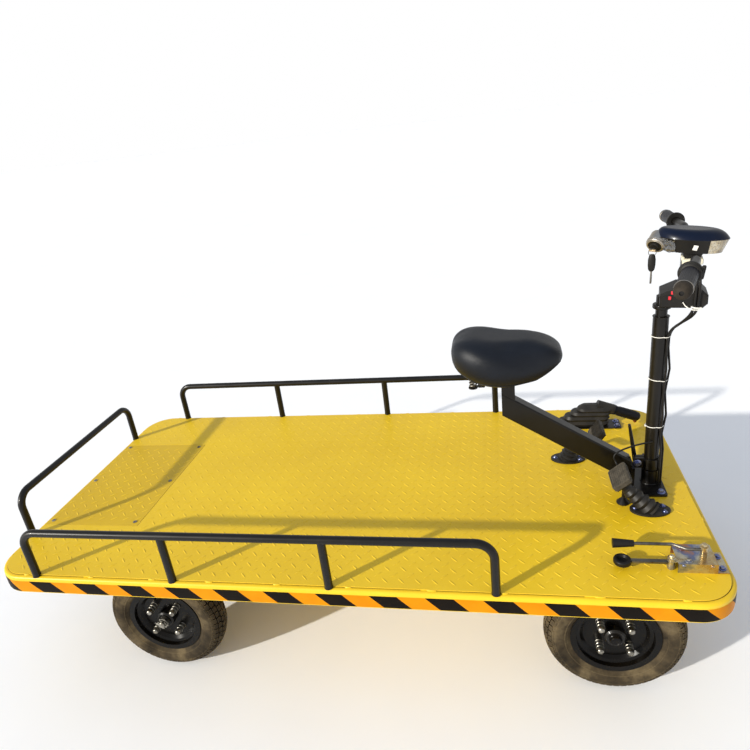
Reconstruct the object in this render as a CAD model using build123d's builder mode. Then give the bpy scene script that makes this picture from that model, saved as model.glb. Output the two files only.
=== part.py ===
from build123d import *
import math
import os

# Electric platform cart: a ride-on flatbed with a checker-plate deck, tube
# rails, a saddle on a sloping arm and a handlebar on an upright column.
# Millimetres. +X is forward, +Y is the driver's left, Z = 0 is the ground.

os.makedirs("parts", exist_ok=True)

# Platform
DECK_LENGTH = 2000.0
DECK_WIDTH = 980.0
DECK_TOP = 418.0
DECK_CORNER_R = 100.0
DECK_X = -15.5  # deck centre, set so that the lamp overhang balances about zero
PLATE_T = 3.0
PLATE_INSET = 12.0
FRAME_DEPTH = 54.0
FRAME_WIDTH = 40.0
FRAME_TOP_R = 8.0
FRAME_BOTTOM_R = 3.0
MEMBER_SIZE = 40.0
LONG_MEMBER_Y = 262.0
REAR_BARS = (670.0, 940.0)  # cross bars, measured from the rear edge
FRONT_BAR = 670.0  # cross bar under the saddle, measured from the front edge
REAR_OUTRIGGERS = (240.0, 670.0, 1060.0)  # from the rear edge
FRONT_OUTRIGGERS = (554.0, 150.0)  # from the front edge

# Battery hatch and battery
HATCH_LENGTH = 331.0
HATCH_WIDTH = 500.0
HATCH_GAP = 2.0
HATCH_SCREW_D = 7.0
HATCH_SCREW_INSET = 18.0
BATTERY_LENGTH = 270.0
BATTERY_BOTTOM = 205.0
BATTERY_TOP_GAP = 8.0
BATTERY_EDGE_R = 12.0

# Rails
RAIL_D = 22.0
RAIL_HEIGHT = 146.0
RAIL_BEND_R = 45.0
RAIL_INSET = 11.0
SIDE_POSTS = (159.0, 584.0, 1025.0, 1446.0)  # from the rear edge
REAR_POST_Y = 306.0
NOTCH_GAP = 0.4

# Steering column
COLUMN_SETBACK = 107.0  # column axis behind the front edge
COLUMN_D = 40.0
COLUMN_TOP = 519.0
SLEEVE_D = 48.0
SLEEVE_HEIGHT = 50.0
COLUMN_BOTTOM = 300.0
BASE_LENGTH = 110.0
BASE_WIDTH = 172.0
BASE_T = 6.0
BASE_SETBACK = 21.0
BASE_ASIDE = 9.0  # middle of the plate, left of the column
BASE_BOLT_INSET = 16.0
BASE_BOLT_D = 11.0
BASE_CORNER_R = 8.0
SHAFT_D = 30.0
BUSH_LENGTH = 30.0
COLUMN_BORE_D = 34.0
RUN_GAP = 0.05
FIT_GAP = 0.1

# Clamp with a quick lever, round the foot of the column
CLAMP_Z = 56.0
CLAMP_RING_T = 5.5
CLAMP_RING_H = 32.0
EAR_LENGTH = 22.0
EAR_T = 9.0
EAR_SLOT = 3.0
EAR_BOLT_D = 8.0
EAR_BOLT_STUB = 7.0
LEVER_LENGTH = 122.0
LEVER_LEAN = 10.0
LEVER_FOOT_D = 14.0
LEVER_TIP_D = 8.0

# Steering linkage, equal arms all round
STEER_ARM = 85.0
ARM_WIDTH = 26.0
PITMAN_WIDTH = 38.0
ARM_T = 14.0
PIN_D = 12.0
EYE_D = 30.0
EYE_T = 14.0
STACK_GAP = 1.0
ROD_D = 12.0
KINGPIN_Y = 270.0
KINGPIN_D = 20.0
KINGPIN_EYE_D = 44.0
KINGPIN_EYE_H = 60.0
FORK_GAP = 2.0
FORK_T = 14.0
FORK_CLEAR = 5.0
FORK_WEB = 14.0
WELD_LAP = 1.0

# Handlebar head, turned to the right as parked
HEAD_TURN = -11.0
CROWN_Z = 540.0
CROWN_D = 46.0
CROWN_T = 12.0
CROWN_EDGE_R = 3.0
SHAFT_TOP = 574.0
BOX_BACK = -8.0
BOX_LENGTH = 110.0
BOX_WIDTH = 84.0
BOX_BOTTOM = 552.0
BOX_HEIGHT = 54.0
BOX_SLOPE = (38.0, 18.0)  # bevel at the back of the top, along and down
BOX_CHAMFER = 22.0
BOX_EDGE = 5.0
BAR_D = 22.0
BAR_X = 58.0
BAR_Z = 648.0
BAR_FLAT = 45.0
BAR_RISE_Y = 190.0
BAR_BEND_R = 40.0
CLAMP_LENGTH = 44.0
CLAMP_WIDTH = 50.0
CLAMP_WALL = 9.0
CLAMP_CORNER_R = 6.0
GRIP_IN = (35.4, 282.5, 61.5)  # ahead of the column, aside, above the bar
GRIP_OUT = (11.4, 416.7, 57.0)
GRIP_D = 36.0
GRIP_END_D = 40.0
GRIP_FLANGE_D = 50.0
GRIP_FLANGE_T = 6.0
GRIP_CAP_T = 5.0
GRIP_BULGE = 14.0

# Lamp and display pod
POD_BACK = -30.5
POD_FRONT = 133.5
POD_WIDTH = 104.0
POD_LIFT = 43.0  # underside, seam and crown of the pod, above the bar
POD_SEAM = 77.0
POD_CROWN = 98.0
POD_PITCH = 5.0  # nose down, about the bar
POD_NECK = 36.0
POD_NECK_TOP = 48.0
POD_NECK_R = 10.0
POD_UNDERCUT = 11.0
POD_SHIFT = -12.0  # the crown of the cover lies behind the middle of the pod
COVER_WAIST = 16.0
COVER_INSETS = (11.0, 34.0)
LENS_LENGTH = 46.0
LOCK_D = 46.0
LOCK_FACE = (-27.0, -20.0, 60.0)  # ahead of the column, aside, above the bar
LOCK_AIM = (-0.36, -0.78, -0.52)
LOCK_LENGTH = 34.0
LOCK_EDGE_R = 4.0
KEY_LENGTH = 18.0
KEY_WIDTH = 18.0
KEY_T = 3.0
FOB_WIDTH = 15.0
FOB_T = 8.0
FOB_HEIGHT = 38.0
FOB_TAIL = (4.0, 2.0, 28.0)

# Saddle and its arm
ARM_TUBE_W = 42.0
ARM_TUBE_H = 62.0
ARM_ANGLE = 32.0
ARM_TUBE_R = 5.0
ARM_FOOT_Z = 14.0
ARM_HEAD = 420.0  # upper end, behind the column
ARM_PLATE_T = 8.0
ARM_PLATE_WIDTH = 70.0
ARM_PLATE_HEIGHT = 62.0
ARM_GAP = 2.0  # between its foot plate and the clamp
SEAT_BACK = 555.0  # rear of the saddle, behind the column
# saddle sections: distance from the rear, width, lower and upper level
SEAT_SECTIONS = (
    (0.0, 94.0, 423.0, 474.0),
    (22.0, 174.0, 395.0, 491.0),
    (71.0, 234.0, 372.0, 493.0),
    (147.0, 239.0, 356.0, 482.0),
    (231.0, 180.0, 366.0, 478.0),
    (286.0, 136.0, 404.0, 456.0),
    (307.0, 62.0, 418.0, 440.0),
)
SEAT_ROUND = 0.46  # corner radius of a section as a share of its height
SEAT_GAP = 0.3
SEAT_BOTTOM = 366.0
SEAT_PLATE_T = 5.0
SEAT_PLATE_LENGTH = 120.0
SEAT_PLATE_WIDTH = 110.0
SEAT_PLATE_R = 20.0
SEAT_PLATE_X = 400.0  # behind the column
SEAT_POST = 38.0
SEAT_POST_H = 95.0

# Foot pedals: flange centre, bellows top, pad centre and pad tilt
# X is measured from the column, Y from the middle, Z from the deck
PEDALS = (
    ((-28.0, -140.0), (-86.0, -126.0, 58.0), (-102.0, -114.0, 88.0), 40.0),
    ((-218.0, 132.0), (-203.0, 132.0, 56.0), (-128.0, 132.0, 92.0), 55.0),
)
# further bends of each pedal's rod, measured in the same way
PEDAL_VIAS = ((), ((-118.0, 132.0, 50.0),))
BOOT_FLANGE_LENGTH = 106.0
BOOT_FLANGE_WIDTH = 66.0
BOOT_FLANGE_T = 5.0
BOOT_D_LOW = 58.0
BOOT_D_TOP = 40.0
BOOT_RINGS = 4
BOOT_FOLD = 5.0
BOOT_SKIRT = 4.0
PEDAL_ROD_D = 14.0
PEDAL_ROD_BEND_R = 12.0
PAD_WIDTH = 90.0
PAD_LENGTH = 55.0
PAD_T = 12.0
PAD_CORNER_R = 8.0
PAD_LIP = 4.0
PAD_PLATE_T = 5.0
PEDAL_BEND = 16.0
STOP_POINT = (-92.0, -104.0)  # from the column and the middle
STOP_FOOT_D = 36.0
STOP_FOOT_T = 3.0
STOP_FLARE_H = 18.0
STOP_STEM_D = 9.0
STOP_BELOW_PAD = 26.0

# Parking brake, X measured from the column
BRAKE_INSET = 130.0  # from the left edge of the platform
BRAKE_BACK = -238.0
BRAKE_LENGTH = 219.0
BRAKE_WIDTH = 64.0
BRAKE_PLATE_T = 4.0
BRAKE_PLATE_R = 6.0
# boot folds: level above the plate, rear end and front end of each ridge
BRAKE_FOLDS = (
    (10.0, -231.0, -57.0),
    (29.0, -210.0, -55.0),
    (46.0, -188.0, -51.0),
    (61.0, -166.0, -47.0),
)
BRAKE_FOLD_DEPTH = 5.0
BRAKE_FOLD_WIDTH = 56.0
BRAKE_CROWN = 11.0
BRAKE_CROWN_INSET = 20.0
BRAKE_NECK = (-42.0, 58.0)  # mouth of the boot, from the column and the deck
BRAKE_NECK_D = 36.0
BRAKE_NECK_LENGTH = 60.0
BRAKE_GRIP_TILT = -20.0
BRAKE_GRIP_D = 31.0
BRAKE_GRIP_LENGTH = 88.0
BRAKE_ROD_D = 18.0
BRAKE_SOCKET = 20.0

# Gear selector, X measured from the column
GEAR_X = 26.0
GEAR_INSET = 138.0  # from the right edge of the platform
GEAR_LENGTH = 88.0
GEAR_WIDTH = 74.0
GEAR_HEIGHT = 26.0
GEAR_SHEET = 3.0
GEAR_FOOT = 26.0
GEAR_ROD_D = 8.0
GEAR_ROD_BEND_R = 14.0
GEAR_POST = (18.0, -6.0)  # post on the bracket, from the bracket's middle
GEAR_POST_D = 16.0
GEAR_POST_H = 28.0
GEAR_ROD_DROP = 8.0
# upper rod, measured back from the post and sideways from it
GEAR_ROD_STEPS = ((38.0, 0.0), (66.0, 17.0), (155.0, 17.0))
GEAR_GRIP_LENGTH = 50.0
GEAR_GRIP_FRONT_D = 16.0
GEAR_GRIP_REAR_D = 24.0
GEAR_ROLLER_D = 18.0
GEAR_ROLLER_X = 12.0  # behind the bracket
GEAR_ROLLER_Y = -20.0
GEAR_ROLLER_H = 30.0
GEAR_LEVER_LENGTH = 82.0
GEAR_LEVER_WIDTH = 12.0
GEAR_LEVER_T = 5.0
GEAR_LEVER_Z = 18.0
GEAR_CUP_D = 42.0
GEAR_CUP_T = 14.0
GEAR_CUP_DISH = 6.0
GEAR_CUP_WALL = 7.0
GEAR_CUP_EDGE_R = 4.0

# Wheels
TYRE_R = 181.0
TYRE_WIDTH = 84.0
RIM_SEAT_R = 102.0
RIM_LIP_H = 12.0
RIM_WELL_DEPTH = 14.0
RIM_WIDTH = 66.0
RIM_SHEET = 4.0
RIM_SLOPE = 12.0
RIM_CREASE = 6.0
RIM_TO_TYRE = 2.0
TREAD_DROP = 12.0
TREAD_SHOULDER = 8.0
DISC_OFFSET = 6.0
FRONT_AXLE = 256.0  # behind the front edge
FRONT_WHEEL_Y = 345.0
REAR_AXLE = 453.0  # ahead of the rear edge
REAR_WHEEL_Y = 365.0
STUD_PCD = 105.0
STUD_COUNT = 4
STUD_D = 12.0
NUT_D = 19.0
NUT_LENGTH = 34.0
NUT_DOME_R = 5.0
HUB_FLANGE_T = 8.0
HUB_FLANGE_STEP = 7.0
HUB_BOSS_D = 54.0
HUB_BOSS_OUT = 26.0
HUB_BOSS_EDGE = 4.0
HUB_BODY_D = 72.0
HUB_BODY_FLARE = 4.0
DRUM_GAP = 13.0  # inside the rim's well
DRUM_WALL = 8.0
DRUM_WEB = 4.0
DRUM_DEPTH = 22.0
SPINDLE_D = 25.0
SPINDLE_END = 34.0

# Axles and springs
BEAM_X = 44.0
BEAM_Z = 50.0
BEAM_POST_Y = 150.0
BEAM_POST = 50.0
BEAM_FLANGE = 84.0
BEAM_FLANGE_T = 6.0
AXLE_TUBE_D = 54.0
BACKING_RIM = 3.0
BACKING_T = 5.0
BACKING_GAP = 3.0
GEARCASE_D = 136.0
GEARCASE_W = 70.0
MOTOR_D = 146.0
MOTOR_LENGTH = 180.0
MOTOR_AHEAD = 150.0
MOTOR_EDGE_R = 12.0
GEARCASE_EDGE_R = 8.0
LEAF_Y = 278.0
LEAF_WIDTH = 44.0
LEAF_T = 6.0
LEAF_HALVES = (215.0, 155.0, 95.0)
LEAF_SAG = 40.0
LEAF_PAD_T = 10.0
LEAF_PAD_LENGTH = 70.0
CLIP_D = 10.0
CLIP_PLATE_T = 8.0
CLIP_INSET = 12.0
CLIP_STUB = 10.0
LEAF_EYE_D = 26.0
HANGER_T = 5.0
HANGER_GAP = 1.0
HANGER_TOP = 64.0
HANGER_TAIL = 34.0
PIN_STUB = 3.0

# Controller
CONTROLLER_LENGTH = 190.0
CONTROLLER_WIDTH = 120.0
CONTROLLER_HEIGHT = 46.0
CONTROLLER_FINS = 7
FIN_DEPTH = 8.0

# Wires
WIRE_D = 6.0
WIRE_GAP = 0.2
WIRE_BEND_R = 12.0
WIRE_TURNS = ((-20.0, 7.0), (-50.0, 4.0))  # angle round the column, slack
# level above the deck, share of the slack, distance off the column
WIRE_LEVELS = (
    (462.0, 0.0, 0.0),
    (430.0, 0.0, 0.0),
    (370.0, 1.0, 0.0),
    (300.0, 0.0, 0.0),
    (230.0, 1.0, 0.0),
    (170.0, 0.0, 0.0),
    (120.0, 0.0, 6.0),
    (6.0, 0.0, 6.0),
)
CABLE_D = 5.0
CABLE_TOP = 150.0
CABLE_AHEAD = 4.0
# bends of the cable, from the column, the middle and the deck
CABLE_VIAS = ((-56.0, -30.0, 144.0), (-116.0, -38.0, 118.0))
CABLE_RUN = 30.0  # straight end at the pedal
CABLE_BEND_R = 14.0

# Worked-out levels and places
FRAME_TOP = DECK_TOP - PLATE_T
SKIRT_BOTTOM = FRAME_TOP - FRAME_DEPTH
MEMBER_BOTTOM = FRAME_TOP - MEMBER_SIZE
DECK_BACK = DECK_X - DECK_LENGTH / 2
DECK_FRONT = DECK_X + DECK_LENGTH / 2
COLUMN_AX = DECK_FRONT - COLUMN_SETBACK
BRAKE_Y = DECK_WIDTH / 2 - BRAKE_INSET
GEAR_Y = GEAR_INSET - DECK_WIDTH / 2
FRONT_AX = DECK_FRONT - FRONT_AXLE
REAR_AX = DECK_BACK + REAR_AXLE
HATCH_BACK = DECK_BACK + PLATE_INSET
HATCH_X = HATCH_BACK + HATCH_LENGTH / 2
RAIL_Y = DECK_WIDTH / 2 - RAIL_INSET
REAR_RAIL_X = DECK_BACK + RAIL_INSET
SIDE_POSTS_X = [DECK_BACK + x for x in SIDE_POSTS]
INNER_BARS_X = [HATCH_BACK + HATCH_LENGTH]
INNER_BARS_X += [DECK_BACK + x for x in REAR_BARS]
INNER_BARS_X += [DECK_FRONT - FRONT_BAR, FRONT_AX]
OUTRIGGERS_X = [DECK_BACK + x for x in REAR_OUTRIGGERS]
OUTRIGGERS_X += [DECK_FRONT - x for x in FRONT_OUTRIGGERS]
RIM_LIP_R = RIM_SEAT_R + RIM_LIP_H
RIM_WELL_R = RIM_SEAT_R - RIM_WELL_DEPTH
DRUM_R = RIM_WELL_R - DRUM_GAP
HEAD = Plane(
    origin=(COLUMN_AX, 0, DECK_TOP),
    x_dir=(math.cos(math.radians(HEAD_TURN)), math.sin(math.radians(HEAD_TURN)), 0),
    z_dir=(0, 0, 1),
)


def save(builder, node):
    """Label a finished piece and write its file."""
    builder.part.label = node
    export_step(builder.part, f"parts/{node}.step")


def rod_plane(start, end):
    """Plane at start whose normal points to end."""
    direction = Vector(*end) - Vector(*start)
    return Plane(origin=start, z_dir=direction.normalized())


def gap(start, end):
    """Straight distance between two points."""
    return (Vector(*end) - Vector(*start)).length


# Edge frame: a rectangular tube bent round the platform
with BuildPart() as edge_frame:
    with BuildSketch(Plane.XY.offset(SKIRT_BOTTOM)):
        with Locations((DECK_X, 0)):
            RectangleRounded(DECK_LENGTH, DECK_WIDTH, DECK_CORNER_R)
            RectangleRounded(
                DECK_LENGTH - 2 * FRAME_WIDTH,
                DECK_WIDTH - 2 * FRAME_WIDTH,
                DECK_CORNER_R - FRAME_WIDTH,
                mode=Mode.SUBTRACT,
            )
    extrude(amount=FRAME_DEPTH)
    top_rim = edge_frame.faces().sort_by(Axis.Z)[-1].outer_wire().edges()
    fillet(top_rim, radius=FRAME_TOP_R)
    bottom_rim = edge_frame.faces().sort_by(Axis.Z)[0].outer_wire().edges()
    fillet(bottom_rim, radius=FRAME_BOTTOM_R)
save(edge_frame, "edge_frame")

# Two long members that carry the axles, the hatch and the deck
INNER_LENGTH = DECK_LENGTH - 2 * FRAME_WIDTH
with BuildPart() as long_members:
    with Locations(
        (DECK_X, LONG_MEMBER_Y, MEMBER_BOTTOM),
        (DECK_X, -LONG_MEMBER_Y, MEMBER_BOTTOM),
    ):
        Box(
            INNER_LENGTH,
            MEMBER_SIZE,
            MEMBER_SIZE,
            align=(Align.CENTER, Align.CENTER, Align.MIN),
        )
save(long_members, "long_members")

# Cross bars between the long members, and outriggers to the edge frame
INNER_BAR = 2 * LONG_MEMBER_Y - MEMBER_SIZE
OUTRIGGER = DECK_WIDTH / 2 - FRAME_WIDTH - LONG_MEMBER_Y - MEMBER_SIZE / 2
OUTRIGGER_Y = LONG_MEMBER_Y + MEMBER_SIZE / 2 + OUTRIGGER / 2
with BuildPart() as cross_members:
    for x in INNER_BARS_X:
        with Locations((x, 0, MEMBER_BOTTOM)):
            Box(
                MEMBER_SIZE,
                INNER_BAR,
                MEMBER_SIZE,
                align=(Align.CENTER, Align.CENTER, Align.MIN),
            )
    for x in OUTRIGGERS_X:
        with Locations(
            (x, OUTRIGGER_Y, MEMBER_BOTTOM),
            (x, -OUTRIGGER_Y, MEMBER_BOTTOM),
        ):
            Box(
                MEMBER_SIZE,
                OUTRIGGER,
                MEMBER_SIZE,
                align=(Align.CENTER, Align.CENTER, Align.MIN),
            )
save(cross_members, "cross_members")

# Deck plate with the hatch opening, the rail notches and the column hole
RAIL_POSTS = [(x, s * RAIL_Y) for x in SIDE_POSTS_X for s in (-1, 1)]
RAIL_POSTS += [(REAR_RAIL_X, s * REAR_POST_Y) for s in (-1, 1)]
with BuildPart() as deck_plate:
    with BuildSketch(Plane.XY.offset(FRAME_TOP)):
        with Locations((DECK_X, 0)):
            RectangleRounded(
                DECK_LENGTH - 2 * PLATE_INSET,
                DECK_WIDTH - 2 * PLATE_INSET,
                DECK_CORNER_R - PLATE_INSET,
            )
        with Locations((HATCH_BACK, 0)):
            Rectangle(
                2 * (HATCH_LENGTH + HATCH_GAP),
                HATCH_WIDTH + 2 * HATCH_GAP,
                mode=Mode.SUBTRACT,
            )
        with Locations(*RAIL_POSTS):
            Circle(RAIL_D / 2 + NOTCH_GAP, mode=Mode.SUBTRACT)
        with Locations((COLUMN_AX, 0)):
            Circle(SLEEVE_D / 2 + NOTCH_GAP, mode=Mode.SUBTRACT)
    extrude(amount=PLATE_T)
save(deck_plate, "deck_plate")

# Flush battery hatch, screwed down round its rim
with BuildPart() as battery_hatch:
    with BuildSketch(Plane.XY.offset(FRAME_TOP)):
        with Locations((HATCH_X, 0)):
            Rectangle(HATCH_LENGTH, HATCH_WIDTH)
            with GridLocations(
                HATCH_LENGTH - 2 * HATCH_SCREW_INSET,
                (HATCH_WIDTH - 2 * HATCH_SCREW_INSET) / 2,
                2,
                3,
            ):
                Circle(HATCH_SCREW_D / 2, mode=Mode.SUBTRACT)
    extrude(amount=PLATE_T)
save(battery_hatch, "battery_hatch")

# Battery case hung between the long members
BATTERY_HEIGHT = FRAME_TOP - BATTERY_TOP_GAP - BATTERY_BOTTOM
BATTERY_X = DECK_BACK + FRAME_WIDTH + BATTERY_LENGTH / 2
with BuildPart() as battery_case:
    with Locations((BATTERY_X, 0, BATTERY_BOTTOM)):
        Box(
            BATTERY_LENGTH,
            INNER_BAR,
            BATTERY_HEIGHT,
            align=(Align.CENTER, Align.CENTER, Align.MIN),
        )
    upright = battery_case.edges().filter_by(Axis.Z)
    fillet(upright, radius=BATTERY_EDGE_R)
save(battery_case, "battery_case")

# Side rails: one bent tube with two middle posts
RAIL_FOOT = FRAME_TOP
RAIL_CENTRE = DECK_TOP + RAIL_HEIGHT
for side, node in ((-1, "side_rail_right"), (1, "side_rail_left")):
    y = side * RAIL_Y
    first = SIDE_POSTS_X[0]
    last = SIDE_POSTS_X[-1]
    with BuildPart() as side_rail:
        with BuildLine() as hoop:
            FilletPolyline(
                (first, y, RAIL_FOOT),
                (first, y, RAIL_CENTRE),
                (last, y, RAIL_CENTRE),
                (last, y, RAIL_FOOT),
                radius=RAIL_BEND_R,
            )
        with BuildSketch(Plane.XY.offset(RAIL_FOOT)):
            with Locations((first, y)):
                Circle(RAIL_D / 2)
        sweep(path=hoop.wires()[0])
        for x in SIDE_POSTS_X[1:-1]:
            with BuildSketch(Plane.XY.offset(RAIL_FOOT)):
                with Locations((x, y)):
                    Circle(RAIL_D / 2)
            extrude(amount=RAIL_CENTRE - RAIL_FOOT)
    save(side_rail, node)

with BuildPart() as rear_rail:
    with BuildLine() as hoop:
        FilletPolyline(
            (REAR_RAIL_X, -REAR_POST_Y, RAIL_FOOT),
            (REAR_RAIL_X, -REAR_POST_Y, RAIL_CENTRE),
            (REAR_RAIL_X, REAR_POST_Y, RAIL_CENTRE),
            (REAR_RAIL_X, REAR_POST_Y, RAIL_FOOT),
            radius=RAIL_BEND_R,
        )
    with BuildSketch(Plane.XY.offset(RAIL_FOOT)):
        with Locations((REAR_RAIL_X, -REAR_POST_Y)):
            Circle(RAIL_D / 2)
    sweep(path=hoop.wires()[0])
save(rear_rail, "rear_rail")

# Steering column: base plate, sleeve and upright tube with two bushes
BUSH_D = SHAFT_D + 2 * RUN_GAP
TUBE_TOP = DECK_TOP + COLUMN_TOP
with BuildPart() as column_tube:
    with BuildSketch(Plane.XY.offset(DECK_TOP)):
        with Locations((COLUMN_AX - BASE_SETBACK, BASE_ASIDE)):
            RectangleRounded(BASE_LENGTH, BASE_WIDTH, BASE_CORNER_R)
            with GridLocations(
                BASE_LENGTH - 2 * BASE_BOLT_INSET,
                BASE_WIDTH - 2 * BASE_BOLT_INSET,
                2,
                2,
            ):
                Circle(BASE_BOLT_D / 2, mode=Mode.SUBTRACT)
    extrude(amount=BASE_T)
    with BuildSketch(Plane.XY.offset(COLUMN_BOTTOM)):
        with Locations((COLUMN_AX, 0)):
            Circle(SLEEVE_D / 2)
    extrude(amount=DECK_TOP + SLEEVE_HEIGHT - COLUMN_BOTTOM)
    with BuildSketch(Plane.XY.offset(DECK_TOP)):
        with Locations((COLUMN_AX, 0)):
            Circle(COLUMN_D / 2)
    extrude(amount=COLUMN_TOP)
    with BuildSketch(Plane.XY.offset(COLUMN_BOTTOM)):
        with Locations((COLUMN_AX, 0)):
            Circle(BUSH_D / 2)
    extrude(amount=TUBE_TOP - COLUMN_BOTTOM, mode=Mode.SUBTRACT)
    with BuildSketch(Plane.XY.offset(COLUMN_BOTTOM + BUSH_LENGTH)):
        with Locations((COLUMN_AX, 0)):
            Circle(COLUMN_BORE_D / 2)
    extrude(amount=TUBE_TOP - COLUMN_BOTTOM - 2 * BUSH_LENGTH, mode=Mode.SUBTRACT)
save(column_tube, "column_tube")

# Clamp ring with two ears, a bolt through them and a tapered quick lever
RING_R = COLUMN_D / 2 + CLAMP_RING_T
EAR_END = RING_R + EAR_LENGTH
EAR_BOLT_X = COLUMN_AX - EAR_END + EAR_BOLT_D
EAR_BOLT_Z = DECK_TOP + CLAMP_Z + CLAMP_RING_H / 2
EAR_HALF = EAR_T + EAR_SLOT / 2
with BuildPart() as column_clamp:
    with BuildSketch(Plane.XY.offset(DECK_TOP + CLAMP_Z)):
        with Locations((COLUMN_AX, 0)):
            Circle(RING_R)
        with Locations((COLUMN_AX - EAR_END / 2, 0)):
            Rectangle(EAR_END, 2 * EAR_HALF)
        with Locations((COLUMN_AX - EAR_END / 2, 0)):
            Rectangle(EAR_END, EAR_SLOT, mode=Mode.SUBTRACT)
        with Locations((COLUMN_AX, 0)):
            Circle(COLUMN_D / 2 + FIT_GAP, mode=Mode.SUBTRACT)
    extrude(amount=CLAMP_RING_H)
    with Locations((EAR_BOLT_X, 0, EAR_BOLT_Z)):
        Cylinder(EAR_BOLT_D / 2, 2 * (EAR_HALF + EAR_BOLT_STUB), rotation=(90, 0, 0))
    lever_foot = (EAR_BOLT_X, EAR_HALF + EAR_BOLT_STUB, EAR_BOLT_Z - LEVER_FOOT_D / 2)
    with Locations(Location(lever_foot, (0, -LEVER_LEAN, 0))):
        Cone(
            LEVER_FOOT_D / 2,
            LEVER_TIP_D / 2,
            LEVER_LENGTH,
            align=(Align.CENTER, Align.CENTER, Align.MIN),
        )
save(column_clamp, "column_clamp")

# Linkage levels, stacked on the knuckle arms
WHEEL_Z = TYRE_R
FORK_IN = KINGPIN_EYE_H / 2 + FORK_GAP
FORK_OUT = FORK_IN + FORK_T
ARM_TOP = WHEEL_Z + FORK_OUT
TIE_Z = ARM_TOP + STACK_GAP
DRAG_Z = TIE_Z + EYE_T + STACK_GAP
PITMAN_Z = DRAG_Z + EYE_T + STACK_GAP

# Steering shaft with its crown, and the drop arm with its pin
with BuildPart() as steering_shaft:
    with BuildSketch(Plane.XY.offset(PITMAN_Z)):
        with Locations((COLUMN_AX, 0)):
            Circle(SHAFT_D / 2)
    extrude(amount=DECK_TOP + SHAFT_TOP - PITMAN_Z)
    with BuildSketch(Plane.XY.offset(DECK_TOP + CROWN_Z)):
        with Locations((COLUMN_AX, 0)):
            Circle(CROWN_D / 2)
    extrude(amount=CROWN_T)
    crown_edges = steering_shaft.edges().filter_by(GeomType.CIRCLE)
    fillet(crown_edges.filter_by(lambda e: abs(e.radius - CROWN_D / 2) < FIT_GAP), radius=CROWN_EDGE_R)
    with BuildSketch(Plane.XY.offset(PITMAN_Z)):
        with Locations((COLUMN_AX + STEER_ARM / 2, 0)):
            SlotCenterToCenter(STEER_ARM, PITMAN_WIDTH)
    extrude(amount=ARM_T)
    with BuildSketch(Plane.XY.offset(DRAG_Z - STACK_GAP)):
        with Locations((COLUMN_AX + STEER_ARM, 0)):
            Circle(PIN_D / 2)
    extrude(amount=PITMAN_Z - DRAG_Z + STACK_GAP)
save(steering_shaft, "steering_shaft")

# Control box under the bars, bevelled at the front and back
HEAD_SIDE = Plane(origin=HEAD.origin, x_dir=HEAD.x_dir, z_dir=-HEAD.y_dir)
BOX_TOP = BOX_BOTTOM + BOX_HEIGHT
BOX_FRONT = BOX_BACK + BOX_LENGTH
with BuildPart() as control_box:
    with BuildSketch(HEAD_SIDE):
        with BuildLine():
            Polyline(
                (BOX_BACK, BOX_BOTTOM),
                (BOX_FRONT - BOX_CHAMFER / 2, BOX_BOTTOM),
                (BOX_FRONT, BOX_BOTTOM + BOX_CHAMFER / 2),
                (BOX_FRONT, BOX_TOP - BOX_CHAMFER),
                (BOX_FRONT - BOX_CHAMFER, BOX_TOP),
                (BOX_BACK + BOX_SLOPE[0], BOX_TOP),
                (BOX_BACK, BOX_TOP - BOX_SLOPE[1]),
                close=True,
            )
        make_face()
    extrude(amount=BOX_WIDTH / 2, both=True)
    box_sides = control_box.faces().filter_by(Axis((0, 0, 0), HEAD.y_dir))
    chamfer(box_sides.edges(), length=BOX_EDGE)
    with BuildSketch(Plane(HEAD.location * Location((0, 0, BOX_BOTTOM)))):
        Circle(SHAFT_D / 2 + FIT_GAP)
    extrude(amount=SHAFT_TOP - BOX_BOTTOM + FIT_GAP, mode=Mode.SUBTRACT)
save(control_box, "control_box")

# Bar clamp on the box
with BuildPart() as bar_clamp:
    with BuildSketch(Plane(HEAD.location * Location((0, 0, BOX_BOTTOM + BOX_HEIGHT)))):
        with Locations((BAR_X, 0)):
            RectangleRounded(CLAMP_LENGTH, CLAMP_WIDTH, CLAMP_CORNER_R)
    extrude(amount=BAR_Z + BAR_D / 2 + CLAMP_WALL - BOX_BOTTOM - BOX_HEIGHT)
    with Locations(HEAD.location * Location((BAR_X, 0, BAR_Z), (90, 0, 0))):
        Cylinder(BAR_D / 2 + FIT_GAP, 2 * CLAMP_WIDTH, mode=Mode.SUBTRACT)
save(bar_clamp, "bar_clamp")

# Handlebar, rising from the clamp and swept back to the grips
GRIP_IN_Z = BAR_Z + GRIP_IN[2]
GRIP_OUT_Z = BAR_Z + GRIP_OUT[2]
BAR_IN = [HEAD.from_local_coords((GRIP_IN[0], s * GRIP_IN[1], GRIP_IN_Z)) for s in (-1, 1)]
BAR_OUT = [HEAD.from_local_coords((GRIP_OUT[0], s * GRIP_OUT[1], GRIP_OUT_Z)) for s in (-1, 1)]
SWEEP_X = (GRIP_IN[0] - GRIP_OUT[0]) / (GRIP_OUT[1] - GRIP_IN[1])
SWEEP_Z = (GRIP_IN[2] - GRIP_OUT[2]) / (GRIP_OUT[1] - GRIP_IN[1])
RISE_X = GRIP_IN[0] + SWEEP_X * (GRIP_IN[1] - BAR_RISE_Y)
RISE_Z = GRIP_IN_Z + SWEEP_Z * (GRIP_IN[1] - BAR_RISE_Y)
BAR_POINTS = [
    BAR_OUT[0],
    HEAD.from_local_coords((RISE_X, -BAR_RISE_Y, RISE_Z)),
    HEAD.from_local_coords((BAR_X, -BAR_FLAT, BAR_Z)),
    HEAD.from_local_coords((BAR_X, BAR_FLAT, BAR_Z)),
    HEAD.from_local_coords((RISE_X, BAR_RISE_Y, RISE_Z)),
    BAR_OUT[1],
]
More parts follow.
